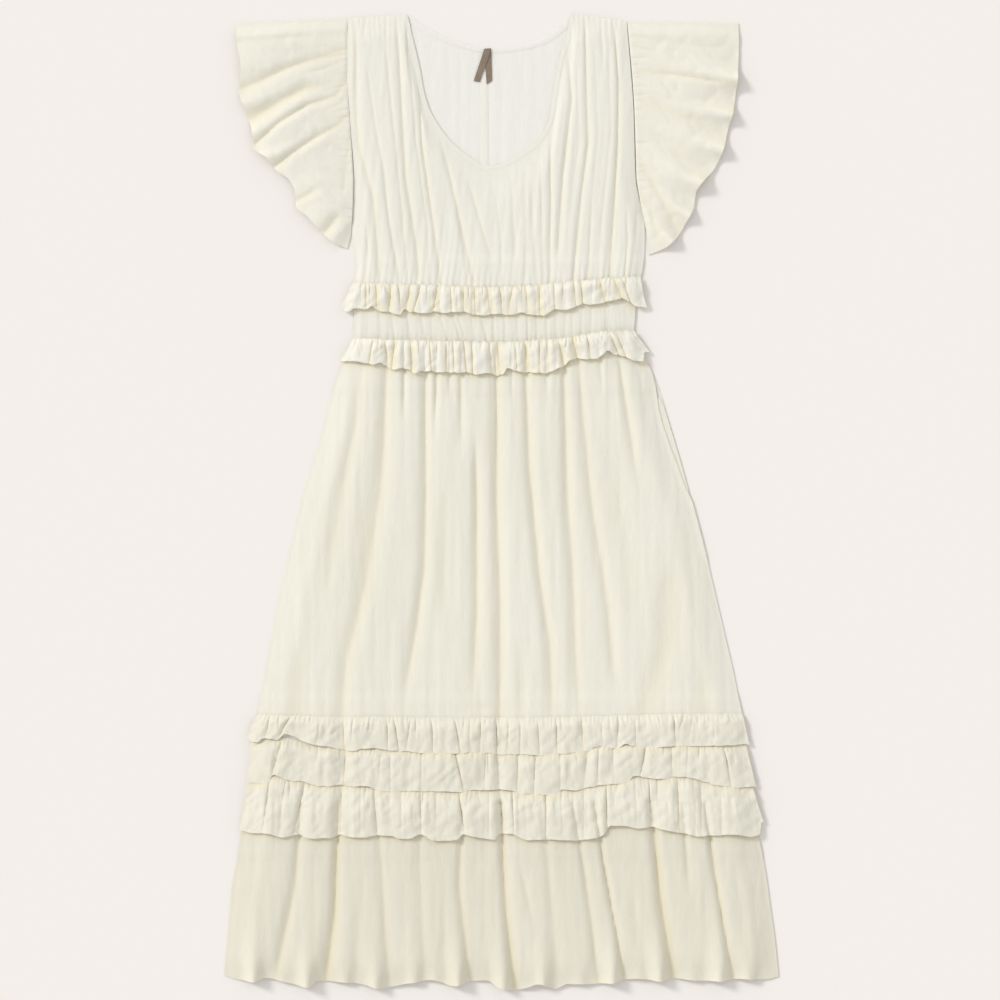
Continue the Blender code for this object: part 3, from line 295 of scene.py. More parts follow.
# waves of the hem: x, half width, reach upward, lift
HEM_FLUTES = (
    (254, 6.5, 26, 0.0120), (281, 8, 30, 0.0026), (307, 7.0, 28, 0.0140), (345, 7.0, 26, 0.0055),
    (376, 7.0, 26, 0.0110), (414, 6.5, 26, 0.0060), (436, 8, 26, 0.0024), (458, 7, 28, 0.0140),
    (503, 7.0, 28, 0.0125), (532, 8, 26, 0.0024), (543, 6.5, 26, 0.0100), (580, 8, 30, 0.0036),
    (612, 7, 28, 0.0135), (640, 8, 26, 0.0030), (659, 7, 28, 0.0135), (692, 8, 28, 0.0034), (719, 8, 30, 0.0125),
    (748, 8, 28, 0.0080),
)
BAND_FOLDS = (
    (((366, 280), (368, 345)), 3.0, 0.34, 2, 2, 0.5), (((379, 280), (380, 345)), 3.0, 0.34, 2, 2, 0.5),
    (((391, 280), (392, 318), (395, 345)), 3.2, 0.52, 2, 2, 0.6), (((405, 280), (407, 314), (411, 345)), 3.2, 0.66, 2, 2, 0.6),
    (((419, 280), (421, 316), (427, 345)), 3.2, 0.62, 2, 2, 0.6), (((430, 280), (432, 345)), 2.8, 0.34, 2, 2, 0.5),
    (((438, 280), (441, 318), (449, 345)), 3.2, 0.56, 2, 2, 0.6), (((449, 280), (453, 316), (462, 345)), 3.4, 0.70, 2, 2, 0.6),
    (((456, 280), (459, 320), (468, 345)), 2.8, 0.50, 2, 2, 0.6), (((470, 280), (474, 345)), 2.8, 0.42, 2, 2, 0.5),
    (((479, 280), (481, 316), (488, 345)), 3.2, 0.62, 2, 2, 0.6), (((491, 280), (495, 345)), 2.8, 0.50, 2, 2, 0.5),
    (((503, 280), (506, 345)), 3.0, 0.52, 2, 2, 0.5), (((517, 280), (518, 345)), 2.8, 0.42, 2, 2, 0.5),
    (((526, 280), (528, 345)), 2.8, 0.44, 2, 2, 0.5), (((535, 280), (537, 345)), 2.8, 0.50, 2, 2, 0.5),
    (((546, 280), (547, 345)), 3.0, 0.56, 2, 2, 0.5), (((556, 280), (556, 345)), 2.8, 0.36, 2, 2, 0.5),
    (((566, 280), (565, 345)), 2.8, 0.42, 2, 2, 0.5), (((574, 280), (572, 345)), 2.8, 0.46, 2, 2, 0.5),
    (((583, 280), (581, 345)), 2.6, 0.36, 2, 2, 0.5), (((593, 280), (590, 345)), 3.0, 0.60, 2, 2, 0.6),
    (((606, 280), (605, 345)), 2.8, 0.56, 2, 2, 0.6), (((610, 280), (607, 345)), 2.8, 0.50, 2, 2, 0.6),
    (((629, 280), (627, 345)), 3.2, 0.60, 2, 2, 0.6),
)
SLEEVE_LEFT_FOLDS = (
    (((350, 32), (318, 36), (270, 40), (234, 42)), 5.0, 0.16, 10, 10, 0.1),
    (((350, 48), (322, 57), (290, 67), (262, 80), (234, 92)), 7.0, 0.80, 6, 14, 0.35),
    (((330, 86), (306, 88), (284, 99), (262, 112), (244, 124)), 9.0, 0.93, 26, 1, 0.12),
    (((350, 72), (344, 84), (336, 96), (308, 105), (280, 122), (252, 147)), 4.6, 0.74, 5, 8, 0.45),
    (((350, 114), (338, 125), (312, 140), (291, 154), (266, 173)), 5.4, 0.82, 10, 1, 0.4),
    (((326, 184), (297, 201), (282, 212)), 7.0, 0.50, 24, 1, 0.2),
    (((342, 212), (324, 233), (310, 248)), 8.0, 0.62, 14, 1, 0.2),
    (((351, 128), (347, 160), (343, 196)), 3.4, 0.45, 10, 16, 0.4),
    (((344, 60), (322, 70), (306, 72)), 3.4, 0.34, 8, 16, 0.4),
    (((349, 92), (341, 104), (322, 112)), 3.0, 0.40, 5, 16, 0.4),
)
SLEEVE_RIGHT_FOLDS = (
    (((628, 34), (660, 42), (700, 46), (742, 50)), 5.0, 0.22, 8, 20, 0.1),
    (((630, 60), (640, 70), (656, 73), (677, 75), (734, 85), (748, 87)), 4.6, 0.66, 6, 1, 0.45),
    (((630, 44), (646, 50), (662, 52)), 2.8, 0.46, 4, 16, 0.5),
    (((632, 86), (644, 100), (670, 112), (702, 125), (740, 140)), 8.0, 0.44, 10, 1, 0.1),
    (((636, 150), (646, 172), (663, 200), (684, 240)), 6.0, 0.66, 8, 1, 0.3),
    (((640, 120), (668, 146), (708, 188)), 7.0, 0.36, 24, 1, 0.1),
    (((638, 186), (650, 210), (662, 250)), 4.4, 0.50, 10, 1, 0.3),
    (((631, 34), (640, 38), (652, 38)), 2.4, 0.40, 3, 12, 0.5),
    (((680, 96), (712, 104), (742, 112)), 7.0, 0.34, 30, 1, 0.1),
)


# ---------------------------------------------------------------- helpers
def smooth(table, v):
    """Curve through the rows (place, value) of a table, without overshoot."""
    p = np.array([row[0] for row in table], float)
    q = np.array([row[1] for row in table], float)
    v = np.clip(np.asarray(v, float), p[0], p[-1])
    i = np.clip(np.searchsorted(p, v, side="right") - 1, 0, len(p) - 2)
    h = np.diff(p)
    d = np.diff(q) / h
    m = np.empty(len(p))
    m[0], m[-1] = d[0], d[-1]
    for k in range(1, len(p) - 1):
        m[k] = 0.0 if d[k - 1] * d[k] <= 0 else 2 * d[k - 1] * d[k] / (d[k - 1] + d[k])
    u = (v - p[i]) / h[i]
    return ((2 * u**3 - 3 * u**2 + 1) * q[i] + (u**3 - 2 * u**2 + u) * h[i] * m[i]
            + (3 * u**2 - 2 * u**3) * q[i + 1] + (u**3 - u**2) * h[i] * m[i + 1])


def ease(u):
    u = np.clip(u, 0.0, 1.0)
    return u * u * (3 - 2 * u)


def along(path, u):
    p = np.array(path, float)
    run = np.concatenate(([0.0], np.cumsum(np.hypot(*np.diff(p, axis=0).T))))
    return np.interp(u * run[-1], run, p[:, 0]), np.interp(u * run[-1], run, p[:, 1])


def left_edge(y):
    return smooth(LEFT_EDGE, y)


def right_edge(y):
    return smooth(RIGHT_EDGE, y)


def body_x(s, y, mouth=False):
    right = right_edge(y)
    if mouth:
        right = right - np.interp(y, *zip(*POCKET_MOUTH))
    return left_edge(y) + s * (right - left_edge(y))


def prop(y, spread=0.0):
    """What the back frills add under the panels that lie on them."""
    return RISE * np.maximum.reduce([
        np.interp(y, (a - spread, b - spread, c + spread, d + spread), (0.0, 1.0, 1.0, 0.0)) for a, b, c, d in PROPPED])


def lattice(seed, x, y):
    """Smooth noise from -1 to 1 with one knot for every unit of x and y."""
    rng = np.random.RandomState(seed)
    table = rng.uniform(-1, 1, (64, 64))
    xi, yi = np.floor(x).astype(int), np.floor(y).astype(int)
    fx, fy = ease(x - xi), ease(y - yi)
    a = table[xi % 64, yi % 64] * (1 - fx) + table[(xi + 1) % 64, yi % 64] * fx
    b = table[xi % 64, (yi + 1) % 64] * (1 - fx) + table[(xi + 1) % 64, (yi + 1) % 64] * fx
    return a * (1 - fy) + b * fy


def gathers(seed, x, period, y=0.0):
    """Uneven narrow gathers across x, from 0 in the creases to 1 on the crests."""
    bent = x + 0.35 * period * lattice(seed, x / (2.7 * period), y) + 0.25 * period * lattice(seed + 1, x / (1.3 * period), y)
    wave = 0.5 + 0.5 * np.cos(2 * np.pi * bent / period)
    size = 0.65 + 0.35 * lattice(seed + 2, x / (1.9 * period), y)
    return size * np.sqrt(wave)


def slits(seed, x, v, spots, first, last, spacing, long_ones=14.0, half=1.0):
    """Short pinched creases that start at a gathered seam: the given ones (place, length, slant) and uneven
    ones between them. v is the distance from the seam in steps."""
    rng = np.random.RandomState(seed)
    rows = [(a, b, c, 1.0) for a, b, c in spots]
    at = first
    while at < last:
        at += spacing * rng.uniform(0.45, 1.6)
        if all(abs(at - r[0]) > 0.45 * spacing for r in rows):
            rows.append((at, long_ones * rng.uniform(0.25, 1.0) ** 1.5, rng.uniform(-0.22, 0.22), rng.uniform(0.35, 1.0)))
    dip = np.zeros(np.broadcast(x, v).shape)
    for a, b, c, d in rows:
        near = np.abs(x - a - c * v)
        dip = np.maximum(dip, d * np.exp(-near / (half * (0.6 + 0.03 * v))) * np.exp(-((v / b) ** 2)))
    return dip


def kept(folds, x, y, narrow=1.0):
    """Share of the loft that the folds leave at each point."""
    left = np.ones(np.broadcast(x, y).shape)
    for path, half, depth, fade0, fade1, sharp in folds:
        near = np.full(left.shape, 1e9)
        run_at = np.zeros(left.shape)
        run = 0.0
        for (x0, y0), (x1, y1) in zip(path[:-1], path[1:]):
            dx, dy = x1 - x0, y1 - y0
            length = math.hypot(dx, dy)
            t = np.clip(((x - x0) * dx + (y - y0) * dy) / length**2, 0.0, 1.0)
            far = np.hypot(x - x0 - t * dx, y - y0 - t * dy)
            closer = far < near
            near = np.where(closer, far, near)
            run_at = np.where(closer, run + t * length, run_at)
            run += length
        fade = ease(run_at / fade0 + 0.1) * ease((run - run_at) / fade1 + 0.1)
        spread = narrow * half * (0.75 + 0.35 * ease(run_at / 160.0))
        dip = (1 - sharp) * np.exp(-((near / spread) ** 2)) + sharp * np.exp(-near / (0.42 * spread))
        left = left * (1 - depth * fade * dip)
    return left


def crinkle(seed, x, y, long_way=2.6):
    """Fine unevenness of gauze that has been gathered and pressed, about -1 to 1."""
    return (0.50 * lattice(seed, x / 9.0, y / (9.0 * long_way)) + 0.30 * lattice(seed + 3, x / 4.6, y / (5.0 * long_way))
            + 0.20 * lattice(seed + 5, x / 2.4 + y / 31.0, y / (3.0 * long_way)))


def loft_at(y):
    """Share of the full loft at height y: the gathered waist seams hold the front down."""
    return np.interp(y, (200.0, 262.0, 283.0, 345.0, 372.0, 430.0), (1.0, 0.92, 0.70, 0.70, 0.84, 1.0))


def calm(y):
    """The skirt lies flatter towards the ruffles; the flounce is full again."""
    return np.interp(y, (400.0, 560.0, 720.0, 798.0, 812.0), (1.0, 0.82, 0.60, 0.60, 1.0))


def place(x, y, z):
    return np.stack(np.broadcast_arrays((x - CENTRE_X) * STEP, (CENTRE_Y - y) * STEP, z), axis=-1)


# ---------------------------------------------------------------- materials
def node(tree, kind, **settings):
    made = tree.nodes.new(kind)
    for key, value in settings.items():
        setattr(made, key, value)
    return made


def gauze(name, light, shade, weave=1.0, crumple=1.0, sheen=0.08, passes=0.20, glow=(0.97, 0.91, 0.72)):
    """Ivory gauze: two close tones in soft blotches, painted warm shade where the fold attribute is set, a fine plain
    weave with faint chevrons, small crumples.
    """
    material = bpy.data.materials.new(name)
    material.use_nodes = True
    tree = material.node_tree
    shader = tree.nodes["Principled BSDF"]
    shader.inputs["Roughness"].default_value = 0.88
    shader.inputs["Specular IOR Level"].default_value = 0.25
    shader.inputs["Sheen Weight"].default_value = sheen
    shader.inputs["Sheen Roughness"].default_value = 0.55
    shader.inputs["Sheen Tint"].default_value = (1.0, 0.98, 0.93, 1.0)
    place_at = node(tree, "ShaderNodeTexCoord")
    link = tree.links.new

    def mapped(scale, rotation=0.0):
        mapping = node(tree, "ShaderNodeMapping")
        mapping.inputs["Scale"].default_value = scale
        mapping.inputs["Rotation"].default_value = (0, 0, rotation)
        link(place_at.outputs["Object"], mapping.inputs["Vector"])
        return mapping.outputs["Vector"]

    blotch = node(tree, "ShaderNodeTexNoise")
    blotch.inputs["Scale"].default_value = 9.0
    blotch.inputs["Detail"].default_value = 4.0
    link(mapped((1.0, 0.45, 1.0)), blotch.inputs["Vector"])
    slub = node(tree, "ShaderNodeTexNoise")
    slub.inputs["Scale"].default_value = 420.0
    slub.inputs["Detail"].default_value = 2.0
    link(mapped((1.0, 0.10, 1.0)), slub.inputs["Vector"])
    mixed = node(tree, "ShaderNodeMath", operation="MULTIPLY_ADD")
    link(slub.outputs["Fac"], mixed.inputs[0])
    mixed.inputs[1].default_value = 0.35
    link(blotch.outputs["Fac"], mixed.inputs[2])
    ramp = node(tree, "ShaderNodeValToRGB")
    ramp.color_ramp.elements[0].position = 0.42
    ramp.color_ramp.elements[0].color = (*shade, 1.0)
    ramp.color_ramp.elements[1].position = 0.86
    ramp.color_ramp.elements[1].color = (*light, 1.0)
    link(mixed.outputs["Value"], ramp.inputs["Fac"])
    # painted shade: where the fold attribute is set, in creases and just below frill edges, the colour is darkened and
    # warmed
    painted_shade_share = node(tree, "ShaderNodeAttribute", attribute_name="fold")
    painted_fold_shade = node(tree, "ShaderNodeMix", data_type="RGBA", blend_type="MULTIPLY")
    link(painted_shade_share.outputs["Fac"], painted_fold_shade.inputs["Factor"])
    link(ramp.outputs["Color"], painted_fold_shade.inputs[6])
    painted_fold_shade.inputs[7].default_value = (0.985, 0.915, 0.765, 1.0)
    link(painted_fold_shade.outputs[2], shader.inputs["Base Color"])

    warp = node(tree, "ShaderNodeTexWave", wave_type="BANDS", bands_direction="X")
    warp.inputs["Scale"].default_value = 260.0
    warp.inputs["Distortion"].default_value = 1.2
    warp.inputs["Detail Scale"].default_value = 3.0
    link(place_at.outputs["Object"], warp.inputs["Vector"])
    weft = node(tree, "ShaderNodeTexWave", wave_type="BANDS", bands_direction="Y")
    weft.inputs["Scale"].default_value = 240.0
    weft.inputs["Distortion"].default_value = 1.2
    weft.inputs["Detail Scale"].default_value = 3.0
    link(place_at.outputs["Object"], weft.inputs["Vector"])
    cloth = node(tree, "ShaderNodeMath", operation="ADD")
    link(warp.outputs["Fac"], cloth.inputs[0])
    link(weft.outputs["Fac"], cloth.inputs[1])
    # faint chevrons: a diagonal rib that changes its lean every 12 mm
    split = node(tree, "ShaderNodeSeparateXYZ")
    link(place_at.outputs["Object"], split.inputs["Vector"])
    lean = node(tree, "ShaderNodeMath", operation="PINGPONG")
    link(split.outputs["X"], lean.inputs[0])
    lean.inputs[1].default_value = 0.012
    slant = node(tree, "ShaderNodeMath", operation="ADD")
    link(lean.outputs["Value"], slant.inputs[0])
    link(split.outputs["Y"], slant.inputs[1])
    rib = node(tree, "ShaderNodeMath", operation="MULTIPLY")
    link(slant.outputs["Value"], rib.inputs[0])
    rib.inputs[1].default_value = 2 * math.pi / 0.0022
    ribs = node(tree, "ShaderNodeMath", operation="SINE")
    link(rib.outputs["Value"], ribs.inputs[0])
    chevron = node(tree, "ShaderNodeMath", operation="MULTIPLY_ADD")
    link(ribs.outputs["Value"], chevron.inputs[0])
    chevron.inputs[1].default_value = 0.35
    link(cloth.outputs["Value"], chevron.inputs[2])

    crush = node(tree, "ShaderNodeTexNoise")
    crush.inputs["Scale"].default_value = 95.0
    crush.inputs["Detail"].default_value = 5.0
    crush.inputs["Roughness"].default_value = 0.62
    link(mapped((1.0, 0.34, 1.0)), crush.inputs["Vector"])

    fine = node(tree, "ShaderNodeBump")
    fine.inputs["Strength"].default_value = 0.30 * weave
    fine.inputs["Distance"].default_value = 0.00025
    link(chevron.outputs["Value"], fine.inputs["Height"])
    coarse = node(tree, "ShaderNodeBump")
    coarse.inputs["Strength"].default_value = 0.55 * crumple
    coarse.inputs["Distance"].default_value = 0.0016
    link(crush.outputs["Fac"], coarse.inputs["Height"])
    link(fine.outputs["Normal"], coarse.inputs["Normal"])
    link(coarse.outputs["Normal"], shader.inputs["Normal"])
    # thin gauze lets part of the light through
    through = node(tree, "ShaderNodeBsdfTranslucent")
    through.inputs["Color"].default_value = (*glow, 1.0)
    link(coarse.outputs["Normal"], through.inputs["Normal"])
    both = node(tree, "ShaderNodeMixShader")
    both.inputs["Fac"].default_value = passes
    link(shader.outputs["BSDF"], both.inputs[1])
    link(through.outputs["BSDF"], both.inputs[2])
    link(both.outputs["Shader"], tree.nodes["Material Output"].inputs["Surface"])
    return material


def ribbon_cloth():
    material = bpy.data.materials.new("brown_ribbon")
    material.use_nodes = True
    tree = material.node_tree
    shader = tree.nodes["Principled BSDF"]
    shader.inputs["Roughness"].default_value = 0.7
    shader.inputs["Sheen Weight"].default_value = 0.2
    at = node(tree, "ShaderNodeTexCoord")
    ribs = node(tree, "ShaderNodeTexWave", wave_type="BANDS", bands_direction="Y")
    ribs.inputs["Scale"].default_value = 210.0
    ribs.inputs["Distortion"].default_value = 0.6
    tree.links.new(at.outputs["Object"], ribs.inputs["Vector"])
    blotch = node(tree, "ShaderNodeTexNoise")
    blotch.inputs["Scale"].default_value = 160.0
    tree.links.new(at.outputs["Object"], blotch.inputs["Vector"])
    ramp = node(tree, "ShaderNodeValToRGB")
    ramp.color_ramp.elements[0].color = (0.165, 0.122, 0.085, 1)
    ramp.color_ramp.elements[1].color = (0.285, 0.222, 0.165, 1)
    tree.links.new(blotch.outputs["Fac"], ramp.inputs["Fac"])
    tree.links.new(ramp.outputs["Color"], shader.inputs["Base Color"])
    bump = node(tree, "ShaderNodeBump")
    bump.inputs["Strength"].default_value = 0.4
    bump.inputs["Distance"].default_value = 0.0002
    tree.links.new(ribs.outputs["Fac"], bump.inputs["Height"])
    tree.links.new(bump.outputs["Normal"], shader.inputs["Normal"])
    return material


# one gauze in several tones, painted light and shade by piece: palest on the inside back, then bodice and sleeves,
# darker and warmer down the skirt and ruffles to the flounce
BODICE_CLOTH = gauze("gauze_bodice", (0.937, 0.927, 0.850), (0.910, 0.898, 0.815))
SLEEVE_CLOTH = gauze("gauze_sleeve", (0.935, 0.922, 0.832), (0.908, 0.892, 0.794))
INSIDE_CLOTH = gauze("gauze_inside", (0.958, 0.953, 0.912), (0.936, 0.929, 0.884))
SKIRT_CLOTH = gauze("gauze_skirt", (0.925, 0.912, 0.820), (0.895, 0.879, 0.778))
RUFFLE_CLOTH = gauze("gauze_ruffle", (0.898, 0.873, 0.772), (0.868, 0.840, 0.726))
FLOUNCE_CLOTH = gauze("gauze_flounce", (0.864, 0.836, 0.722), (0.834, 0.802, 0.678))
BINDING_CLOTH = gauze("gauze_binding", (0.937, 0.927, 0.852), (0.912, 0.900, 0.820), crumple=0.5)
RIBBON_CLOTH = ribbon_cloth()


# ---------------------------------------------------------------- mesh
made = {}


def cloth(name, points, material, stands_for, held="laid", rests_on=(), thickness=CLOTH, side=1.0,
          slot="dress_cloth", depth=None):
    """One piece of cloth: a grid of points (columns, rows) given a thickness along its normals.

    Its flat size is measured on the grid itself, along its longest column and row."""
    n, m = points.shape[:2]
    normal = np.cross(np.gradient(points, axis=1), np.gradient(points, axis=0))
    normal /= np.maximum(np.linalg.norm(normal, axis=-1, keepdims=True), 1e-12)
    other = points + side * thickness * normal
    other[..., 2] = np.maximum(other[..., 2], 0.0)
    outer, inner = (other, points) if side > 0 else (points, other)
    verts = np.concatenate([outer.reshape(-1, 3), inner.reshape(-1, 3)])
    i, j = np.meshgrid(np.arange(n - 1), np.arange(m - 1), indexing="ij")
    a = (i * m + j).ravel()
    top = np.stack([a, a + 1, a + m + 1, a + m], axis=1)
    low = n * m
    bottom = top[:, ::-1] + low
    ring = []
    for k in range(m - 1):
        ring.append((k + 1, k))
        ring.append(((n - 1) * m + k, (n - 1) * m + k + 1))
    for k in range(n - 1):
        ring.append((k * m, (k + 1) * m))
        ring.append(((k + 1) * m + m - 1, k * m + m - 1))
    ring = np.array(ring)
    rim = np.stack([ring[:, 0], ring[:, 1], ring[:, 1] + low, ring[:, 0] + low], axis=1)
    faces = np.concatenate([top, bottom, rim])
    mesh = bpy.data.meshes.new(name)
    mesh.from_pydata(verts.tolist(), [], faces.tolist())
    mesh.update()
    mesh.polygons.foreach_set("use_smooth", np.ones(len(mesh.polygons), bool))
    mesh.set_sharp_from_angle(angle=math.radians(60))
    # painted shade: depth, a share per point, becomes the fold attribute that darkens and warms the colour
    if depth is not None:
        painted_shade_values = mesh.attributes.new("fold", "FLOAT", "POINT")
        painted_shade_values.data.foreach_set("value", np.tile(np.clip(depth, 0, 1).ravel(), 2).astype(np.float32))
    piece = bpy.data.objects.new(name, mesh)
    bpy.context.scene.collection.objects.link(piece)
    mesh.materials.append(material)
    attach(piece, "root")
    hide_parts(*((stands_for,) if isinstance(stands_for, str) else stands_for))
    across = float(np.max(np.linalg.norm(np.diff(points, axis=0), axis=-1).sum(axis=0)))
    down = float(np.max(np.linalg.norm(np.diff(points, axis=1), axis=-1).sum(axis=1)))
    across, down = max(across, 0.0105), max(down, 0.0105)
    made[name] = (piece, points)
    return piece


def ends_of(s, seam, shift=0.0):
    middle = seam[len(seam) // 2][1]
    return smooth(seam, body_x(s, middle)) + shift


def front_panel(columns, rows, top, bottom, folds, seed, mouth=False, loft=LOFT, fine_top=0.0, fine_bottom=0.0,
                fine_reach=(40.0, 40.0), fine_period=7.0, flutes=(), crumple=0.00035, narrow=1.0, streak=0.0004):
    """Points of a front panel: soft troughs between its folds, fine gathers at its gathered edges.

    Flutes (x, half width, reach, lift) are the waves in which a free hem stands up."""
    s = np.linspace(0, 1, columns + 1)[:, None] + np.zeros((1, rows + 1))
    t = np.zeros((columns + 1, 1)) + np.linspace(0, 1, rows + 1)[None, :]
    y0, y1 = ends_of(s, top, SEAM), ends_of(s, bottom, -SEAM)
    y = y0 + t * (y1 - y0)
    x = body_x(s, y, mouth)
    inside = np.minimum(s, 1 - s) * (right_edge(y) - left_edge(y))
    side = ease(inside / EDGE_EASE)
    bulk = 1.0 + 0.16 * lattice(seed + 20, x / 60.0, y / 130.0)
    left = kept(folds, x, y, narrow)
    rise = loft * loft_at(y) * calm(y) * side * bulk * left
    near = ease(inside / 8.0)
    gather = gathers(seed + 30, x, fine_period, y / 90.0)
    reach0 = fine_reach[0] * (0.55 + 0.45 * lattice(seed + 41, x / 6.0, 0 * x))
    reach1 = fine_reach[1] * (0.55 + 0.45 * lattice(seed + 43, x / 6.0, 0 * x))
    rise = rise + near * fine_top * gather * np.exp(-((y - y0) / np.maximum(reach0, 4.0)) ** 1.4)
    rise = rise + near * fine_bottom * gather * np.exp(-((y1 - y) / np.maximum(reach1, 4.0)) ** 1.4)
    rise = rise + near * crumple * (1 + crinkle(seed + 50, x, y))
    rise = rise + near * streak * (1 + lattice(seed + 52, x / 5.0, y / 70.0))
    if flutes:
        rise = rise * (1 - 0.55 * np.exp(-(((y1 - y) / 16.0) ** 2)))
    for fx, half, reach, lift in flutes:
        wide = half * (1.0 + 0.35 * ease((y1 - y) / reach))
        rise = rise + lift * near * np.exp(-(((x - fx) / wide) ** 2)) * np.exp(-((y1 - y) / reach) ** 1.3)
    z = prop(y, 12.0) + RISE + np.maximum(rise, pocket_floor(x, y))
    return place(x, y, z), (1 - left) * side, y


def pocket_floor(x, y):
    left = np.interp(y, [row[0] for row in POCKET], [row[1] for row in POCKET])
    over = np.minimum(np.minimum(ease((y - 388) / 9), ease((566 - y) / 9)), ease((x - left + 16) / 12))
    return np.where((y > 388) & (y < 566), RISE * over, 0.0)


def back_panel(columns, rows, top, bottom, seed, trim=0.0):
    s = np.linspace(0, 1, columns + 1)[:, None] + np.zeros((1, rows + 1))
    t = np.zeros((columns + 1, 1)) + np.linspace(0, 1, rows + 1)[None, :]
    y0, y1 = ends_of(s, top, SEAM), ends_of(s, bottom, -SEAM - trim)
    y = y0 + t * (y1 - y0)
    x = body_x(s, y)
    return place(x, y, prop(y) + 0 * x)


def top_of(points, s, y):
    """Top of a panel at shares s across and rows y, read from its own points."""
    last = points.shape[0] - 1
    rows_y = CENTRE_Y - points[:, :, 1] / STEP
    rows_z = points[:, :, 2]
    at = np.clip(s, 0, 1) * last
    i = np.minimum(at.astype(int), last - 1)
    out = np.empty(y.shape)
    for k in range(y.shape[0]):
        f = at[k, 0] - i[k, 0]
        a = np.interp(y[k], rows_y[i[k, 0]], rows_z[i[k, 0]])
        b = np.interp(y[k], rows_y[i[k, 0] + 1], rows_z[i[k, 0] + 1])
        out[k] = a + f * (b - a)
    return out + 1.15 * CLOTH


def trim_x(s, y, t, over):
    return (body_x(s, y) - over[0] * t * ease(1 - s / 0.07) + over[1] * t * ease(1 - (1 - s) / 0.07))


def trim_front(columns, rows, spec, folds, base, seed, bed, flare, pinches, spacing, long_ones, scallop, tuck, start_share):
    """Points of a front frill: pinched creases at its seam open into folds that stand off the panel below.

    A flare of 1 lifts the free edge; 0 lets it fall back on the panel below."""
    s = np.linspace(0, 1, columns + 1)[:, None] + np.zeros((1, rows + 1))
    t = np.zeros((columns + 1, 1)) + (np.linspace(0, 1, rows + 1) ** 1.15)[None, :]
    seam, edge = spec["seam"], spec["shape"]["edge"]
    across = body_x(s, seam[len(seam) // 2][1])
    start = smooth(seam, across) + spec["nudge"]
    end = smooth(edge, trim_x(s, edge[len(edge) // 2][1], 1.0, spec["over"]))
    # the gathered header makes small uneven teeth over the seam
    teeth = gathers(seed + 12, across, 4.4)
    start = start - 1.2 - 2.0 * teeth * (0.3 + 0.7 * np.abs(lattice(seed + 13, across / 11.0, 0 * across)))
    y = start + t * (end - start)
    x = trim_x(s, y, t, spec["over"])
    v = t * (end - start)
    left, pull = np.ones(x.shape), np.zeros(x.shape)
    for x0, x1, half, depth in folds:
        near = np.abs(x - (x0 + t * (x1 - x0)))
        wide = np.exp(-((near / (half * (0.45 + 0.55 * t))) ** 2))
        crease = np.exp(-near / (0.6 + 0.5 * t))
        broad = 0.22 if half < 6 else 0.55
        left = left * (1 - np.minimum(depth * 1.15, 0.97) * (broad * wide + (1 - broad) * crease))
        pull = pull + depth * np.exp(-near / 2.2) * t
    pinched = slits(seed + 2, x, v, pinches, across[0, 0], across[-1, 0], spacing, long_ones)
    left = left * (1 - 0.85 * pinched)
    sides = 0.30 + 0.70 * ease(np.minimum(s, 1 - s) / 0.04)
    swell = 0.82 + 0.34 * lattice(seed, x / 15.0, t * 1.5) + 0.16 * lattice(seed + 1, x / 6.0, t * 2.0)
    rolled = (0.78 + 0.22 * t) * flare + (1 - 0.66 * ease((t - 0.30) / 0.70)) * (1 - flare)
    puff = spec["lift"] * (start_share + (1 - start_share) * ease(t / 0.30)) * rolled * left * sides * swell
    ripple = 0.0005 * (1 + crinkle(seed + 9, x * 1.6, y * 1.2, 1.6)) * ease(t / 0.2)
    crushed = 0.0016 * (np.abs(lattice(seed + 15, (x + 1.3 * y) / 10.0, (x - 0.7 * y) / 22.0))
                        + 0.6 * np.abs(lattice(seed + 17, (x - 0.9 * y) / 6.0, (x + y) / 16.0))) * ease(t / 0.25)
    clear = 0.0003 + tuck * np.exp(-v / 3.5) + bed * ease((t - 0.45) / 0.4) * (0.75 + 0.25 * lattice(seed + 4, x / 23.0, 0 * x))
    z = base(s, y) + clear + puff + ripple + crushed
    # crests lean a little over the creases beside them, and the hem draws up where the cloth folds in
    lean = (0.28 * puff / STEP) * lattice(seed + 6, x / 13.0, 0 * x)
    drawn = scallop * (1.5 * ease((t - 0.3) / 0.7) * np.minimum(pull, 1.1) - 0.9 * ease((t - 0.5) / 0.5) * (left - 0.5))
    ripples = 0.5 * ease((t - 0.6) / 0.4) * lattice(seed + 16, x / 6.0, 0 * x)
    return place(x + lean, y - drawn + ripples, z), 1 - left


def under(edge, x, y):
    """Share of painted warm shade just below the free edge of a frill, where its cloth lies close over the next piece.
    """
    return np.exp(-(((y - smooth(edge, x) - 1.0) / 4.5) ** 2))


def trim_back(columns, spec, limit):
    s = np.linspace(0, 1, columns + 1)[:, None] + np.zeros((1, 7))
    t = np.zeros((columns + 1, 1)) + np.linspace(0, 1, 7)[None, :]
    seam, edge = spec["seam"], spec["shape"]["edge"]
    start = smooth(seam, body_x(s, seam[len(seam) // 2][1])) + spec["nudge"]
    end = np.minimum(smooth(edge, trim_x(s, edge[len(edge) // 2][1], 1.0, spec["over"])), limit(s))
    y = start + t * (end - start)
    return place(trim_x(s, y, t, spec["over"]), y, 0.0 * y)


# ---------------------------------------------------------------- bodice
tops = list(LEFT_SHOULDER[:-1]) + list(FRONT_NECK) + list(RIGHT_SHOULDER[1:])
neck_from, neck_to = len(LEFT_SHOULDER) - 1, len(LEFT_SHOULDER) - 1 + len(FRONT_NECK) - 1
facing = []
for k in range(len(tops)):
    if neck_from < k < neck_to:
        (ax, ay), (bx, by) = tops[k - 1], tops[k + 1]
        run = math.hypot(bx - ax, by - ay)
        facing.append((-(by - ay) / run, (bx - ax) / run))
    elif k in (neck_from, neck_to):
        facing.append((-0.35, 0.94) if k == neck_from else (0.35, 0.94))
    else:
        facing.append((0.0, 1.0))


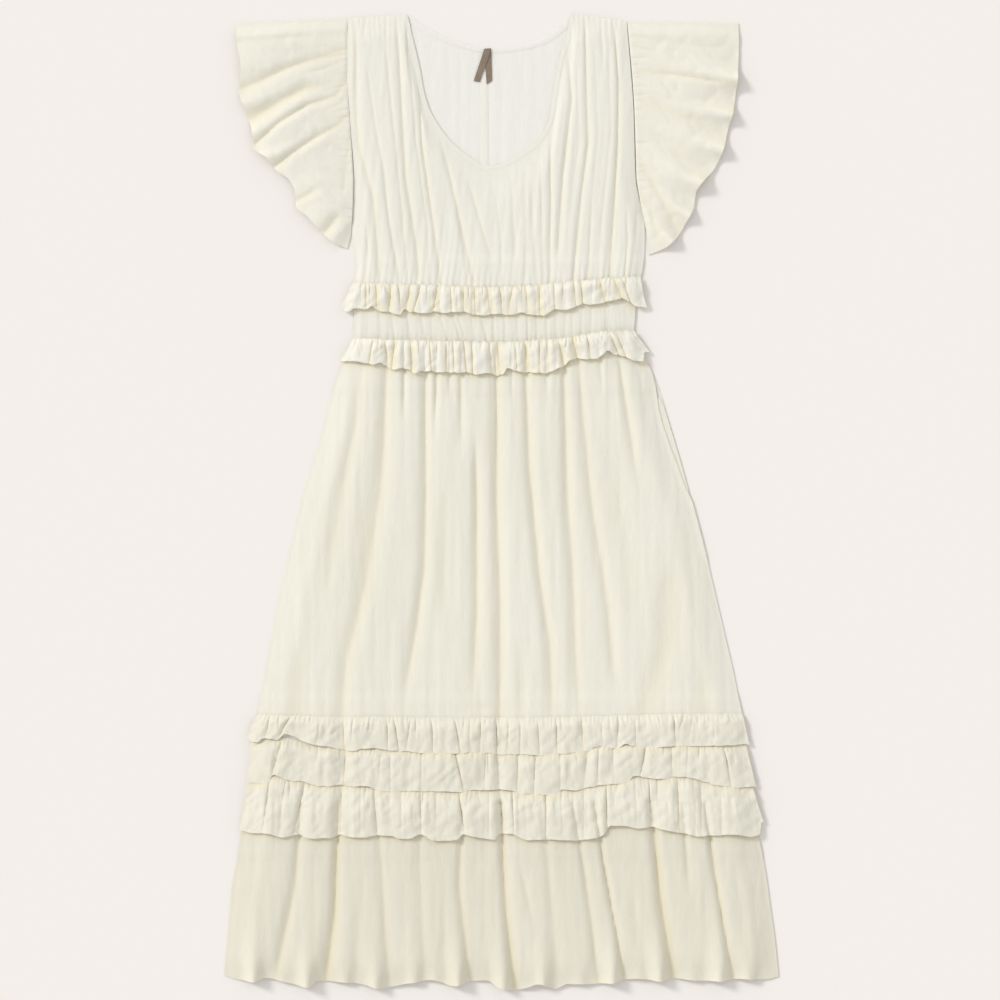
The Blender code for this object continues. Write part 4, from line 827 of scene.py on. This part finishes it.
def bodice_tops(index):
    x = smooth([(k, p[0]) for k, p in enumerate(tops)], index)
    y = smooth([(k, p[1]) for k, p in enumerate(tops)], index)
    nx = np.interp(index, np.arange(len(tops)), [f[0] for f in facing])
    ny = np.interp(index, np.arange(len(tops)), [f[1] for f in facing])
    return x, y, nx, ny


def bodice_points(index, rows_in, rows_down):
    """Points of the front bodice below the given places along its top edge."""
    x0, y0, nx, ny = (v[:, None] for v in bodice_tops(index))
    x1, y1 = x0 + BIND_FRONT * nx, y0 + BIND_FRONT * ny
    share = index[:, None] / (len(tops) - 1)
    foot = smooth(WAIST_TOP, body_x(share, 283)) - SEAM
    high = (x1 - left_edge(y1)) / (right_edge(y1) - left_edge(y1))
    t = np.linspace(0, 1, rows_down + 1)[None, :]
    y = y1 + t * (foot - y1)
    s = high + t * (share - high)
    x = left_edge(y) + s * (right_edge(y) - left_edge(y))
    k = np.linspace(0, 1, rows_in + 1)[None, :-1]
    xa, ya = x0 + k * (x1 - x0), y0 + k * (y1 - y0)
    sa = np.clip((xa - left_edge(ya)) / (right_edge(ya) - left_edge(ya)), 0, 1)
    x, y, s = np.concatenate([xa, x], 1), np.concatenate([ya, y], 1), np.concatenate([sa, s], 1)
    inside = np.minimum(s, 1 - s) * (right_edge(y) - left_edge(y))
    # how far below the top edge: the shoulder seams hold the cloth down, the neck edge stands off a little
    below = np.hypot(x - x0, y - y0)
    neck = ease(np.minimum(index[:, None] - neck_from, neck_to - index[:, None]) / 2.5 + 0.5)
    held = (0.08 + 0.06 * neck) + (0.92 - 0.06 * neck) * ease(below / (24 + 24 * neck))
    seam_share = 0.38 * (1 - ease((y - 150) / 60.0)) * ease(below / 14)
    side = seam_share + (1 - seam_share) * ease(inside / 18.0)
    bulk = 1.0 + 0.14 * lattice(301, x / 40.0, y / 90.0)
    left = kept(BODICE_FOLDS, x, y, 0.62)
    rise = 0.48 * LOFT * loft_at(y) * side * held * bulk * left
    rise = rise + ease(inside / 6.0) * held * 0.0005 * (1 + lattice(342, x / 4.6 + 0.02 * y, y / 80.0))
    near = ease(inside / 6.0)
    gather = gathers(310, x + 0.10 * (y - 283), 6.2, y / 60.0)
    reach = 46 * (0.60 + 0.40 * lattice(320, x / 6.0, 0 * x))
    rise = rise + near * 0.0013 * gather * np.exp(-(np.maximum(foot - y, 0) / np.maximum(reach, 8)) ** 1.3)
    shoulder = gathers(330, x, 5.4, y / 60.0) * (1 - neck)
    rise = rise + near * 0.0011 * shoulder * np.exp(-((below / 22) ** 1.4))
    rise = rise + near * 0.00030 * (1 + crinkle(340, x, y, 3.4)) * ease(below / 6)
    return place(x, y, prop(y, 12.0) + RISE + rise), (1 - left) * held


index = np.linspace(0, len(tops) - 1, 251)
front, front_depth = bodice_points(index, 3, 130)
# painted shade in the bodice's folds: half their depth goes to the fold attribute
cloth("cloth_bodice_front", front, BODICE_CLOTH, "bodice_front", "gathered",
      ["cloth_bodice_back_left", "cloth_bodice_back_right"], depth=0.5 * front_depth)

# narrow binding, folded over the neck edge, on the bodice's own points
neck_index = np.linspace(neck_from + 0.02, neck_to - 0.02, 261)
rim = bodice_points(neck_index, 8, 4)[0][:, :9]
crown = np.sin(np.linspace(0.0, 1.0, 9) * math.pi) ** 0.6
binding = rim + np.array([0, 0, 1.0]) * (CLOTH + 0.00004 + 0.00008 * crown)[None, :, None]
cloth("cloth_neck_binding_front", binding, BINDING_CLOTH, "neck_binding_front", "laid",
      ["cloth_bodice_front"], thickness=0.00025)

for name, side in (("bodice_back_left", 0), ("bodice_back_right", 1)):
    if side == 0:
        line = list(LEFT_SHOULDER[::2]) + [p for p in BACK_NECK[1:] if p[0] < CENTRE_BACK] + [(CENTRE_BACK - SEAM, 46.5)]
    else:
        line = [(CENTRE_BACK + SEAM, 46.6)] + [p for p in BACK_NECK[:-1] if p[0] > CENTRE_BACK + 5] + list(RIGHT_SHOULDER[::2])
    last = len(line) - 1
    where = np.linspace(0, last, 49)
    x0 = smooth([(k, p[0]) for k, p in enumerate(line)], where)[:, None]
    y0 = smooth([(k, p[1]) for k, p in enumerate(line)], where)[:, None]
    cut = CENTRE_BACK + (-SEAM if side == 0 else SEAM)
    middle = (cut - left_edge(283)) / (right_edge(283) - left_edge(283))
    share = where[:, None] / last
    share = middle * share if side == 0 else middle + (1 - middle) * share
    foot = smooth(WAIST_TOP, body_x(share, 283)) - SEAM
    high = (x0 - left_edge(y0)) / (right_edge(y0) - left_edge(y0))
    t = np.linspace(0, 1, 61)[None, :]
    y = y0 + t * (foot - y0)
    s = high + t * (share - high)
    x = left_edge(y) + s * (right_edge(y) - left_edge(y))
    if side == 0:
        x = x + (cut - x[-1, :])[None, :] * (where / last)[:, None]
    else:
        x = x + (cut - x[0, :])[None, :] * (1 - where / last)[:, None]
    soft = 0.0007 * gathers(360 + side, x, 15.0, y / 90.0) * ease((y - y0) / 20.0) * ease((np.minimum(s, 1 - s)) / 0.05)
    soft = soft * ease(np.abs(x - CENTRE_BACK) / 10.0)
    cloth("cloth_" + name, place(x, y, prop(y) + soft), INSIDE_CLOTH, name, "laid", [])

y = np.linspace(53.2, 285.8, 90)[None, :]
k = np.linspace(0, 1, 9)[:, None]
x = CENTRE_BACK - 3.6 + 7.8 * k + 0.25 * lattice(371, y / 9.0, 0 * y)
z = prop(y) + 0.00064 + 0.00022 * np.sin(k * math.pi) ** 0.7 + 0.0001 * lattice(372, y / 5.0, 0 * y) ** 2
# painted shade along the right edge of the seam strip and, less, its left edge, over a faint warm tint of the whole
# strip
cloth("cloth_centre_back_seam", place(x, y, z), INSIDE_CLOTH, "centre_back_seam", "laid",
      ["cloth_bodice_back_left", "cloth_bodice_back_right"], thickness=0.0003, depth=0.10 + 0.5 * ease((k - 0.75) / 0.2) + 0.2 * ease((0.2 - k) / 0.2) + 0 * x)

ends = [(412.5, 18.2)] + [p for p in BACK_NECK if 418 < p[0] < 560] + [(565.8, 21.8)]
where = np.linspace(0, len(ends) - 1, 161)
bx = smooth([(k, p[0]) for k, p in enumerate(ends)], where)
by = smooth([(k, p[1]) for k, p in enumerate(ends)], where)
gx, gy = np.gradient(bx), np.gradient(by)
run = np.hypot(gx, gy)
k = np.linspace(0, 1, 9)[None, :]
x = bx[:, None] - (gy / run)[:, None] * BIND_BACK * k
y = by[:, None] + (gx / run)[:, None] * BIND_BACK * k
z = 0.00064 + 0.00022 * np.sin(k * math.pi) ** 0.6 + 0 * x
cloth("cloth_neck_binding_back", place(x, y, z), INSIDE_CLOTH, "neck_binding_back", "laid",
      ["cloth_bodice_back_left", "cloth_bodice_back_right"], thickness=0.0003)

# bare ribbon loop
rows_at = np.array([0.0, 0.44, 0.47, 0.5, 0.53, 0.56, 1.0])
table = np.array(RIBBON_ROWS)
t = np.concatenate([np.linspace(0, 0.44, 24), np.linspace(0.445, 0.555, 14), np.linspace(0.56, 1, 24)])
cols = [np.interp(t, rows_at, table[:, c]) for c in range(5)]
k = np.linspace(0, 1, 9)[:, None]
x = cols[0] + k * (cols[2] - cols[0])
y = cols[1] + k * (cols[3] - cols[1])
turn = 0.00035 + 0.0003
leg = cols[4][None, :]
z = 0.0019 + turn - turn * np.cos(np.pi * leg) + 0 * x
z = z + 0.0002 * np.sin(t * 9.0)[None, :] ** 2 - 0.0004 * ease((y - 52) / 12) - 0.0008 * leg * ease((y - 64) / 12)
cloth("cloth_neck_ribbon", place(x, y, z), RIBBON_CLOTH, "neck_ribbon", "folded",
      ["cloth_neck_binding_back", "cloth_centre_back_seam"], thickness=0.0004, side=-1.0, slot="ribbon")


# ---------------------------------------------------------------- sleeves
def sleeve(name, spec, folds, flutes, mirrored, seed, droop, loft):
    """A flutter sleeve folded along its top; its front half lies over its back half in soft waves."""
    outside = CLOTH + 0.00015
    rows = np.linspace(0, 1, 61)[None, :]

    def ray(u, shrink=0.0):
        ax, ay = along(spec["armhole"], u)
        ax = ax + (1.0 if spec["armhole"][0][0] < CENTRE_X else -1.0) * np.interp(ay, (24, 176, 244), (0.9, 0.8, 0.2))
        hx, hy = smooth_path(spec["hem"], u)
        reach = rows * (1.0 - shrink * np.sin(np.pi * u))[:, None]
        return ax[:, None] + reach * (hx - ax)[:, None], ay[:, None] + reach * (hy - ay)[:, None]

    u = np.linspace(1, 0, 67)
    xb, yb = ray(u, 0.02)
    back = place(xb, yb, 0.0 * xb + 0.0008 * gathers(seed + 7, 100 * u, 9.0)[:, None] * rows)
    angles = np.radians(np.linspace(0, 180, 9)[1:-1])
    ax, ay = along(spec["armhole"], 0.0)
    hx, hy = spec["hem"][0]
    xf = ax + rows * (hx - ax) + 0 * angles[:, None]
    yf = ay + rows * (hy - ay) - (outside * np.sin(angles) / STEP)[:, None]
    fold = place(xf, yf, (outside * (1 - np.cos(angles)))[:, None] + 0 * xf)
    u = np.linspace(0, 1, 201)
    x, y = ray(u)
    sides = ease(u / 0.06) * ease((1 - u) / 0.07)
    bulk = 1.0 + 0.18 * lattice(seed, x / 34.0, y / 34.0)
    left = kept(folds, x, y, 0.9)
    rise = loft * (0.16 + 0.84 * ease(rows * 1.3)) * sides[:, None] * bulk * left
    far = np.hypot(x[:, -1:] - x, y[:, -1:] - y)
    rise = rise * (1 - droop * np.exp(-((far / 30.0) ** 1.6)))
    for hx, hy, half, reach, lift in flutes:
        beside = np.hypot(x[:, -1] - hx, y[:, -1] - hy)
        beside = np.where(beside < 40, beside, 99.0)[:, None]
        rise = rise + lift * sides[:, None] * np.exp(-((beside / (half * (1 + 0.5 * far / reach))) ** 2)) * np.exp(-((far / reach) ** 1.3))
    pinched = slits(seed + 2, y + 0 * rows, rows * np.hypot(x[:, -1:] - x[:, :1], y[:, -1:] - y[:, :1]), (), 20, 245, 6.0, 22.0)
    rise = rise + sides[:, None] * 0.0014 * (1 - pinched) * np.exp(-((rows / 0.4) ** 2)) * ease(rows / 0.03 + 0.3)
    rise = rise + sides[:, None] * 0.0011 * np.abs(lattice(seed + 9, (x + y) / 21.0, (x - y) / 13.0)) * ease(rows * 3)
    rise = rise + sides[:, None] * 0.0004 * (1 + crinkle(seed + 4, y, x, 2.2))
    front_half = place(x, y, 2 * outside + rise)
    back[:, :, 2] = np.minimum(back[:, :, 2], 0.0)
    points = np.concatenate([back, fold, front_half])
    # painted shade in the folds of the sleeve's front half
    depth = np.concatenate([0 * xb, 0 * xf, 0.6 * (1 - left) * sides[:, None]])
    if not mirrored:
        points, depth = points[::-1], depth[::-1]
    cloth("cloth_" + name, points, SLEEVE_CLOTH, name, "gathered", [], side=-1.0, depth=depth)


def smooth_path(path, u):
    """Point at the share u of a path, rounded through its corners."""
    p = np.array(path, float)
    run = np.concatenate(([0.0], np.cumsum(np.hypot(*np.diff(p, axis=0).T))))
    at = np.asarray(u) * run[-1]
    return smooth(list(zip(run, p[:, 0])), at), smooth(list(zip(run, p[:, 1])), at)


# waves of the sleeve hems: x, y on the hem, half width, reach inward, lift
LEFT_FLUTES = ((238, 66, 9, 34, 0.0026), (245, 104, 6, 30, 0.0034), (248, 134, 7, 34, 0.0042), (265, 160, 7, 34, 0.0042),
               (286, 196, 8, 30, 0.0034), (306, 226, 8, 28, 0.0034))
RIGHT_FLUTES = ((737.2, 80, 8.5, 30, 0.0125), (732, 116, 7.0, 28, 0.0110), (723, 150, 7.5, 28, 0.0115),
                (702, 184, 9.0, 30, 0.0130), (689, 216, 6.5, 26, 0.0095), (672, 242, 7.5, 26, 0.0095))
sleeve("sleeve_left", SLEEVE_LEFT, SLEEVE_LEFT_FOLDS, LEFT_FLUTES, True, 500, 0.35, 0.74 * SLEEVE_LOFT)
sleeve("sleeve_right", SLEEVE_RIGHT, SLEEVE_RIGHT_FOLDS, RIGHT_FLUTES, False, 540, 0.86, 0.56 * SLEEVE_LOFT)

# ---------------------------------------------------------------- waistband, skirt, flounce
band, band_depth, _ = front_panel(300, 44, WAIST_TOP, WAIST_LOW, BAND_FOLDS, 600, loft=0.32 * LOFT, fine_top=0.0006,
                                  fine_bottom=0.0006, fine_reach=(26.0, 26.0), fine_period=5.0, crumple=0.0002,
                                  narrow=0.8)
# painted shade in the waistband's folds and just below the upper frill's edge
cloth("cloth_waistband_front", band, BODICE_CLOTH, "waistband_front", "gathered",
      ["cloth_waistband_back"], depth=np.maximum(
          0.5 * band_depth, 0.7 * under(FRILL_UPPER["edge"], band[:, :, 0] / STEP + CENTRE_X, CENTRE_Y - band[:, :, 1] / STEP)))
cloth("cloth_waistband_back", back_panel(50, 16, WAIST_TOP, WAIST_LOW, 610), BODICE_CLOTH, "waistband_back",
      "laid", ["cloth_waist_frill_upper_back"])

skirt, skirt_depth, _ = front_panel(270, 156, WAIST_LOW, TIER_SEAM, SKIRT_FOLDS, 620, mouth=True, fine_top=0.0016,
                                    fine_reach=(60.0, 10.0), fine_period=8.5, narrow=0.85, loft=0.90 * LOFT)
# painted shade in the skirt's folds and just below the lower frill's edge
cloth("cloth_skirt_front", skirt, SKIRT_CLOTH, "skirt_front", "gathered",
      ["cloth_skirt_back", "cloth_pocket_right"], depth=np.maximum(
          0.62 * skirt_depth, 0.7 * under(FRILL_LOWER["edge"], skirt[:, :, 0] / STEP + CENTRE_X, CENTRE_Y - skirt[:, :, 1] / STEP)))
cloth("cloth_skirt_back", back_panel(40, 70, WAIST_LOW, TIER_SEAM, 630), SKIRT_CLOTH, "skirt_back", "laid", ["cloth_ruffle_1_back", "cloth_ruffle_2_back"])
flounce, flounce_depth, _ = front_panel(360, 84, TIER_SEAM, HEM, FLOUNCE_FOLDS, 640, fine_top=0.0012,
                                        fine_reach=(46.0, 10.0), fine_period=8.0, flutes=HEM_FLUTES, crumple=0.00045,
                                        loft=LOFT * 0.92, narrow=0.70)
# painted shade in the flounce's folds and just below the third ruffle's edge
cloth("cloth_flounce_front", flounce, FLOUNCE_CLOTH, "flounce_front", "gathered",
      ["cloth_flounce_back"], depth=np.maximum(
          0.8 * flounce_depth - 0.1, 0.5 * under(RUFFLE_3["edge"], flounce[:, :, 0] / STEP + CENTRE_X, CENTRE_Y - flounce[:, :, 1] / STEP)))
low_hem = tuple((x, y - 1.5) for x, y in HEM)
cloth("cloth_flounce_back", back_panel(110, 16, TIER_SEAM, low_hem, 650), FLOUNCE_CLOTH, "flounce_back",
      "laid", ["cloth_ruffle_3_back"])

rows_y = np.linspace(POCKET[0][0], POCKET[-1][0], 60)
xl = np.interp(rows_y, [r[0] for r in POCKET], [r[1] for r in POCKET])
xr = np.interp(rows_y, [r[0] for r in POCKET], [r[2] for r in POCKET])
k = np.linspace(0, 1, 25)[:, None]
cloth("cloth_pocket_right", place(xl + k * (xr - xl), rows_y[None, :] + 0 * k, RISE + 0 * k * xl), SKIRT_CLOTH,
      "pocket_right", "laid", ["cloth_skirt_back"])

# ---------------------------------------------------------------- frills and ruffles
tiers = np.concatenate([
    np.stack([np.array([np.interp(np.linspace(0, 270, 361), np.arange(271), skirt[:, j, c]) for c in range(3)]).T
              for j in range(skirt.shape[1])], axis=1), flounce], axis=1)
# pinched creases at the seams of the frills: place along the seam, length, slant
PINCHES = {
    "waist_frill_upper": ((361, 10, 0.0), (369.8, 12, 0.0), (383, 12, 0.5), (398, 26, 0.1), (427, 12, 0.0), (454.5, 9, 0.0),
                          (468.5, 12, 0.0), (482.5, 8, 0.0), (487.5, 10, 0.3), (498.5, 12, 0.2), (517, 9, 0.5), (522, 11, 0.0),
                          (537, 10, 0.5), (563, 18, 0.0), (626.5, 10, 0.0)),
    "waist_frill_lower": ((357, 10, -0.3), (379, 8, 0.0), (418.5, 10, 0.0), (437.5, 9, 0.0), (547, 22, 0.0)),
    "ruffle_1": ((279, 9, 0.0), (353, 16, 0.0), (365, 9, 0.0), (404, 9, 0.0), (416, 18, 0.0), (464, 10, 0.0), (470, 9, 0.0),
                 (561, 10, 0.0), (609.5, 10, 0.0), (640, 9, 0.0), (667, 9, 0.0), (684, 15, -0.3), (673, 12, 0.2), (698, 9, 0.0)),
    "ruffle_2": ((318, 13, 0.0), (488, 24, 0.0), (613, 13, 0.0), (664, 10, 0.0), (699, 14, 0.0)),
    "ruffle_3": ((290, 16, 0.0), (366, 10, 0.0), (423.5, 20, 0.0), (468, 8, 0.0), (489, 9, 0.0), (512, 18, 0.0), (562, 11, 0.0),
                 (620, 20, -0.25), (657, 38, 0.0), (721, 15, 0.2)),
}
# folds of the ruffles: x at the seam, x at the free edge, half width, depth
CREASES = {
    "ruffle_1": ((270, 266, 5, 0.7), (292, 279, 6, 0.9), (320, 317, 5, 0.25), (343, 345, 9, 0.9), (387, 388, 3, 0.45),
                 (393.5, 399, 4, 0.75), (411, 406, 4, 0.45), (431, 433, 4, 0.6), (454, 461, 4, 0.85), (470, 471, 3, 0.3),
                 (481.5, 480, 3, 0.45), (496, 497, 5, 0.97), (509, 507, 3, 0.5), (520, 520, 3, 0.45), (537, 540, 4, 0.75),
                 (556, 557, 4, 0.85), (581.5, 583, 7, 0.9), (601.5, 603, 3, 0.35), (618, 617, 3.5, 0.75),
                 (635, 636, 3, 0.35), (673, 676, 4.5, 0.85), (692, 688, 3.5, 0.45), (714, 714, 3, 0.2)),
    "ruffle_2": ((283, 272, 6, 0.8), (318, 312, 3, 0.2), (346, 344, 9, 0.85), (382, 379, 3, 0.25), (390, 391, 3, 0.3),
                 (422, 421, 3, 0.25), (454, 464.5, 4.5, 0.85), (486, 484, 7, 0.55), (497, 499, 4, 0.6), (518, 517, 6, 0.9),
                 (536, 534, 5, 0.7), (560, 560, 3, 0.3), (588, 583, 6, 0.6), (599, 598, 3.5, 0.5), (613, 614, 3, 0.25),
                 (646, 640, 5, 0.85), (671, 672, 6.5, 0.95), (688, 686, 3, 0.25), (722.5, 731, 4, 0.75)),
    "ruffle_3": ((271, 263, 4, 0.6), (287, 279, 4, 0.3), (306, 293.5, 6, 0.95), (342, 341, 9, 0.9), (374, 378, 5, 0.65),
                 (402, 402, 3, 0.25), (421, 422, 5, 0.5), (436, 436, 3, 0.2), (458, 465, 4.5, 0.85), (489, 489, 3, 0.35),
                 (500, 503, 8, 0.95), (512, 514, 3.5, 0.6), (545, 546, 4, 0.65), (562, 563, 3, 0.2), (584, 584, 7, 0.55),
                 (606, 607, 4, 0.85), (634, 636, 3, 0.25), (649, 650, 5, 0.9), (677, 679, 7, 0.95), (700, 702, 6, 0.5),
                 (721, 722, 3, 0.2)),
}
# name, columns, rows, what lies below, seed, cloth, clearance at the edge, flare, spacing, longest pinch, scallop
trims = (
    ("waist_frill_upper", 560, 14, lambda s, y: top_of(band, s, y), 700, BODICE_CLOTH, 0.0002, 0.34, 5.5, 10.0, 0.8),
    ("waist_frill_lower", 560, 15, lambda s, y: top_of(skirt, s, y), 720, BODICE_CLOTH, 0.0002, 0.34, 5.5, 11.0, 0.8),
    ("ruffle_1", 740, 16, lambda s, y: top_of(tiers, s, y), 740, RUFFLE_CLOTH, 0.0004, 0.14, 7.0, 12.0, 0.30),
    ("ruffle_2", 740, 19, lambda s, y: top_of(tiers, s, y), 760, RUFFLE_CLOTH, 0.0004, 0.12, 8.0, 13.0, 0.25),
    ("ruffle_3", 740, 23, lambda s, y: top_of(tiers, s, y), 780, RUFFLE_CLOTH, 0.0002, 0.14, 8.0, 15.0, 0.25),
)
limits = {
    "ruffle_1": lambda s: smooth(TRIM["ruffle_2"]["seam"], body_x(s, 745)) - 1.0,
    "ruffle_2": lambda s: smooth(TRIM["ruffle_3"]["seam"], body_x(s, 783)) - 1.0,
}
for name, columns, rows, base, seed, material, bed, flare, spacing, long_ones, scallop in trims:
    spec = TRIM[name]
    below = {"waist_frill_upper": "cloth_waistband_front", "waist_frill_lower": "cloth_skirt_front",
             "ruffle_3": "cloth_flounce_front"}.get(name, "cloth_skirt_front")
    tuck = 0.0020 if name.startswith("waist") else 0.0
    waist = name.startswith("waist")
    points, depth = trim_front(columns, rows, spec, CREASES.get(name, spec["shape"]["folds"]), base, seed, bed, flare,
                               PINCHES[name], spacing, long_ones, scallop, tuck, 0.22 if waist else 0.06)
    # painted shade in the creases of frills and ruffles, and on ruffles 2 and 3 just below the edge of the ruffle above
    depth = 1.25 * depth if waist else 1.5 * depth - 0.7
    if name in ("ruffle_2", "ruffle_3"):
        over = TRIM["ruffle_1" if name == "ruffle_2" else "ruffle_2"]["shape"]["edge"]
        depth = np.maximum(depth, 0.6 * under(over, points[:, :, 0] / STEP + CENTRE_X, CENTRE_Y - points[:, :, 1] / STEP))
    cloth("cloth_" + name + "_front", points, material, name + "_front", "gathered", [below], depth=depth)
    cloth("cloth_" + name + "_back", trim_back(columns // 4, spec, limits.get(name, lambda s: 999.0 + 0 * s)), material,
          name + "_back", "laid", [])

# ---------------------------------------------------------------- floor, light and camera
floor_mesh = bpy.data.meshes.new("floor")
size = 6.0
floor_mesh.from_pydata([(-size, -size, -0.0002), (size, -size, -0.0002), (size, size, -0.0002), (-size, size, -0.0002)],
                       [], [(0, 1, 2, 3)])
floor = bpy.data.objects.new("floor", floor_mesh)
bpy.context.scene.collection.objects.link(floor)
paper = bpy.data.materials.new("pale_floor")
paper.use_nodes = True
shader = paper.node_tree.nodes["Principled BSDF"]
shader.inputs["Base Color"].default_value = (0.832, 0.798, 0.764, 1.0)
shader.inputs["Roughness"].default_value = 1.0
shader.inputs["Specular IOR Level"].default_value = 0.0
floor_mesh.materials.append(paper)

world = bpy.data.worlds.new("studio")
world.use_nodes = True
world.node_tree.nodes["Background"].inputs["Color"].default_value = (1.0, 1.0, 1.0, 1.0)
world.node_tree.nodes["Background"].inputs["Strength"].default_value = FILL_LIGHT
bpy.context.scene.world = world


def lamp(name, toward, strength, angle, colour):
    """A broad far light that comes from the direction toward."""
    data = bpy.data.lights.new(name, "SUN")
    data.energy = strength
    data.angle = math.radians(angle)
    data.color = colour
    made_lamp = bpy.data.objects.new(name, data)
    bpy.context.scene.collection.objects.link(made_lamp)
    direction = -Vector(toward).normalized()
    made_lamp.rotation_euler = direction.to_track_quat("-Z", "Y").to_euler()
    made_lamp.location = Vector(toward) * 2


lamp("key_light", (-1.10, 0.74, 0.88), KEY_LIGHT, 15.0, (1.0, 0.985, 0.96))

camera_data = bpy.data.cameras.new("camera")
camera = bpy.data.objects.new("camera", camera_data)
bpy.context.scene.collection.objects.link(camera)
camera_data.lens = 100.0
camera_data.sensor_width = 36.0
camera_data.clip_end = 50.0
VIEW_WIDTH = 1000 * STEP
distance = VIEW_WIDTH * camera_data.lens / camera_data.sensor_width
camera.location = ((500 - CENTRE_X) * STEP, (CENTRE_Y - 500) * STEP, distance + 0.004)
camera.rotation_euler = (0.0, 0.0, 0.0)
bpy.context.scene.camera = camera
bpy.context.scene.view_settings.view_transform = "Standard"
bpy.context.scene.view_settings.look = "None"
bpy.context.scene.view_settings.exposure = 0.0
bpy.context.scene.view_settings.gamma = 1.0

bpy.context.view_layer.update()
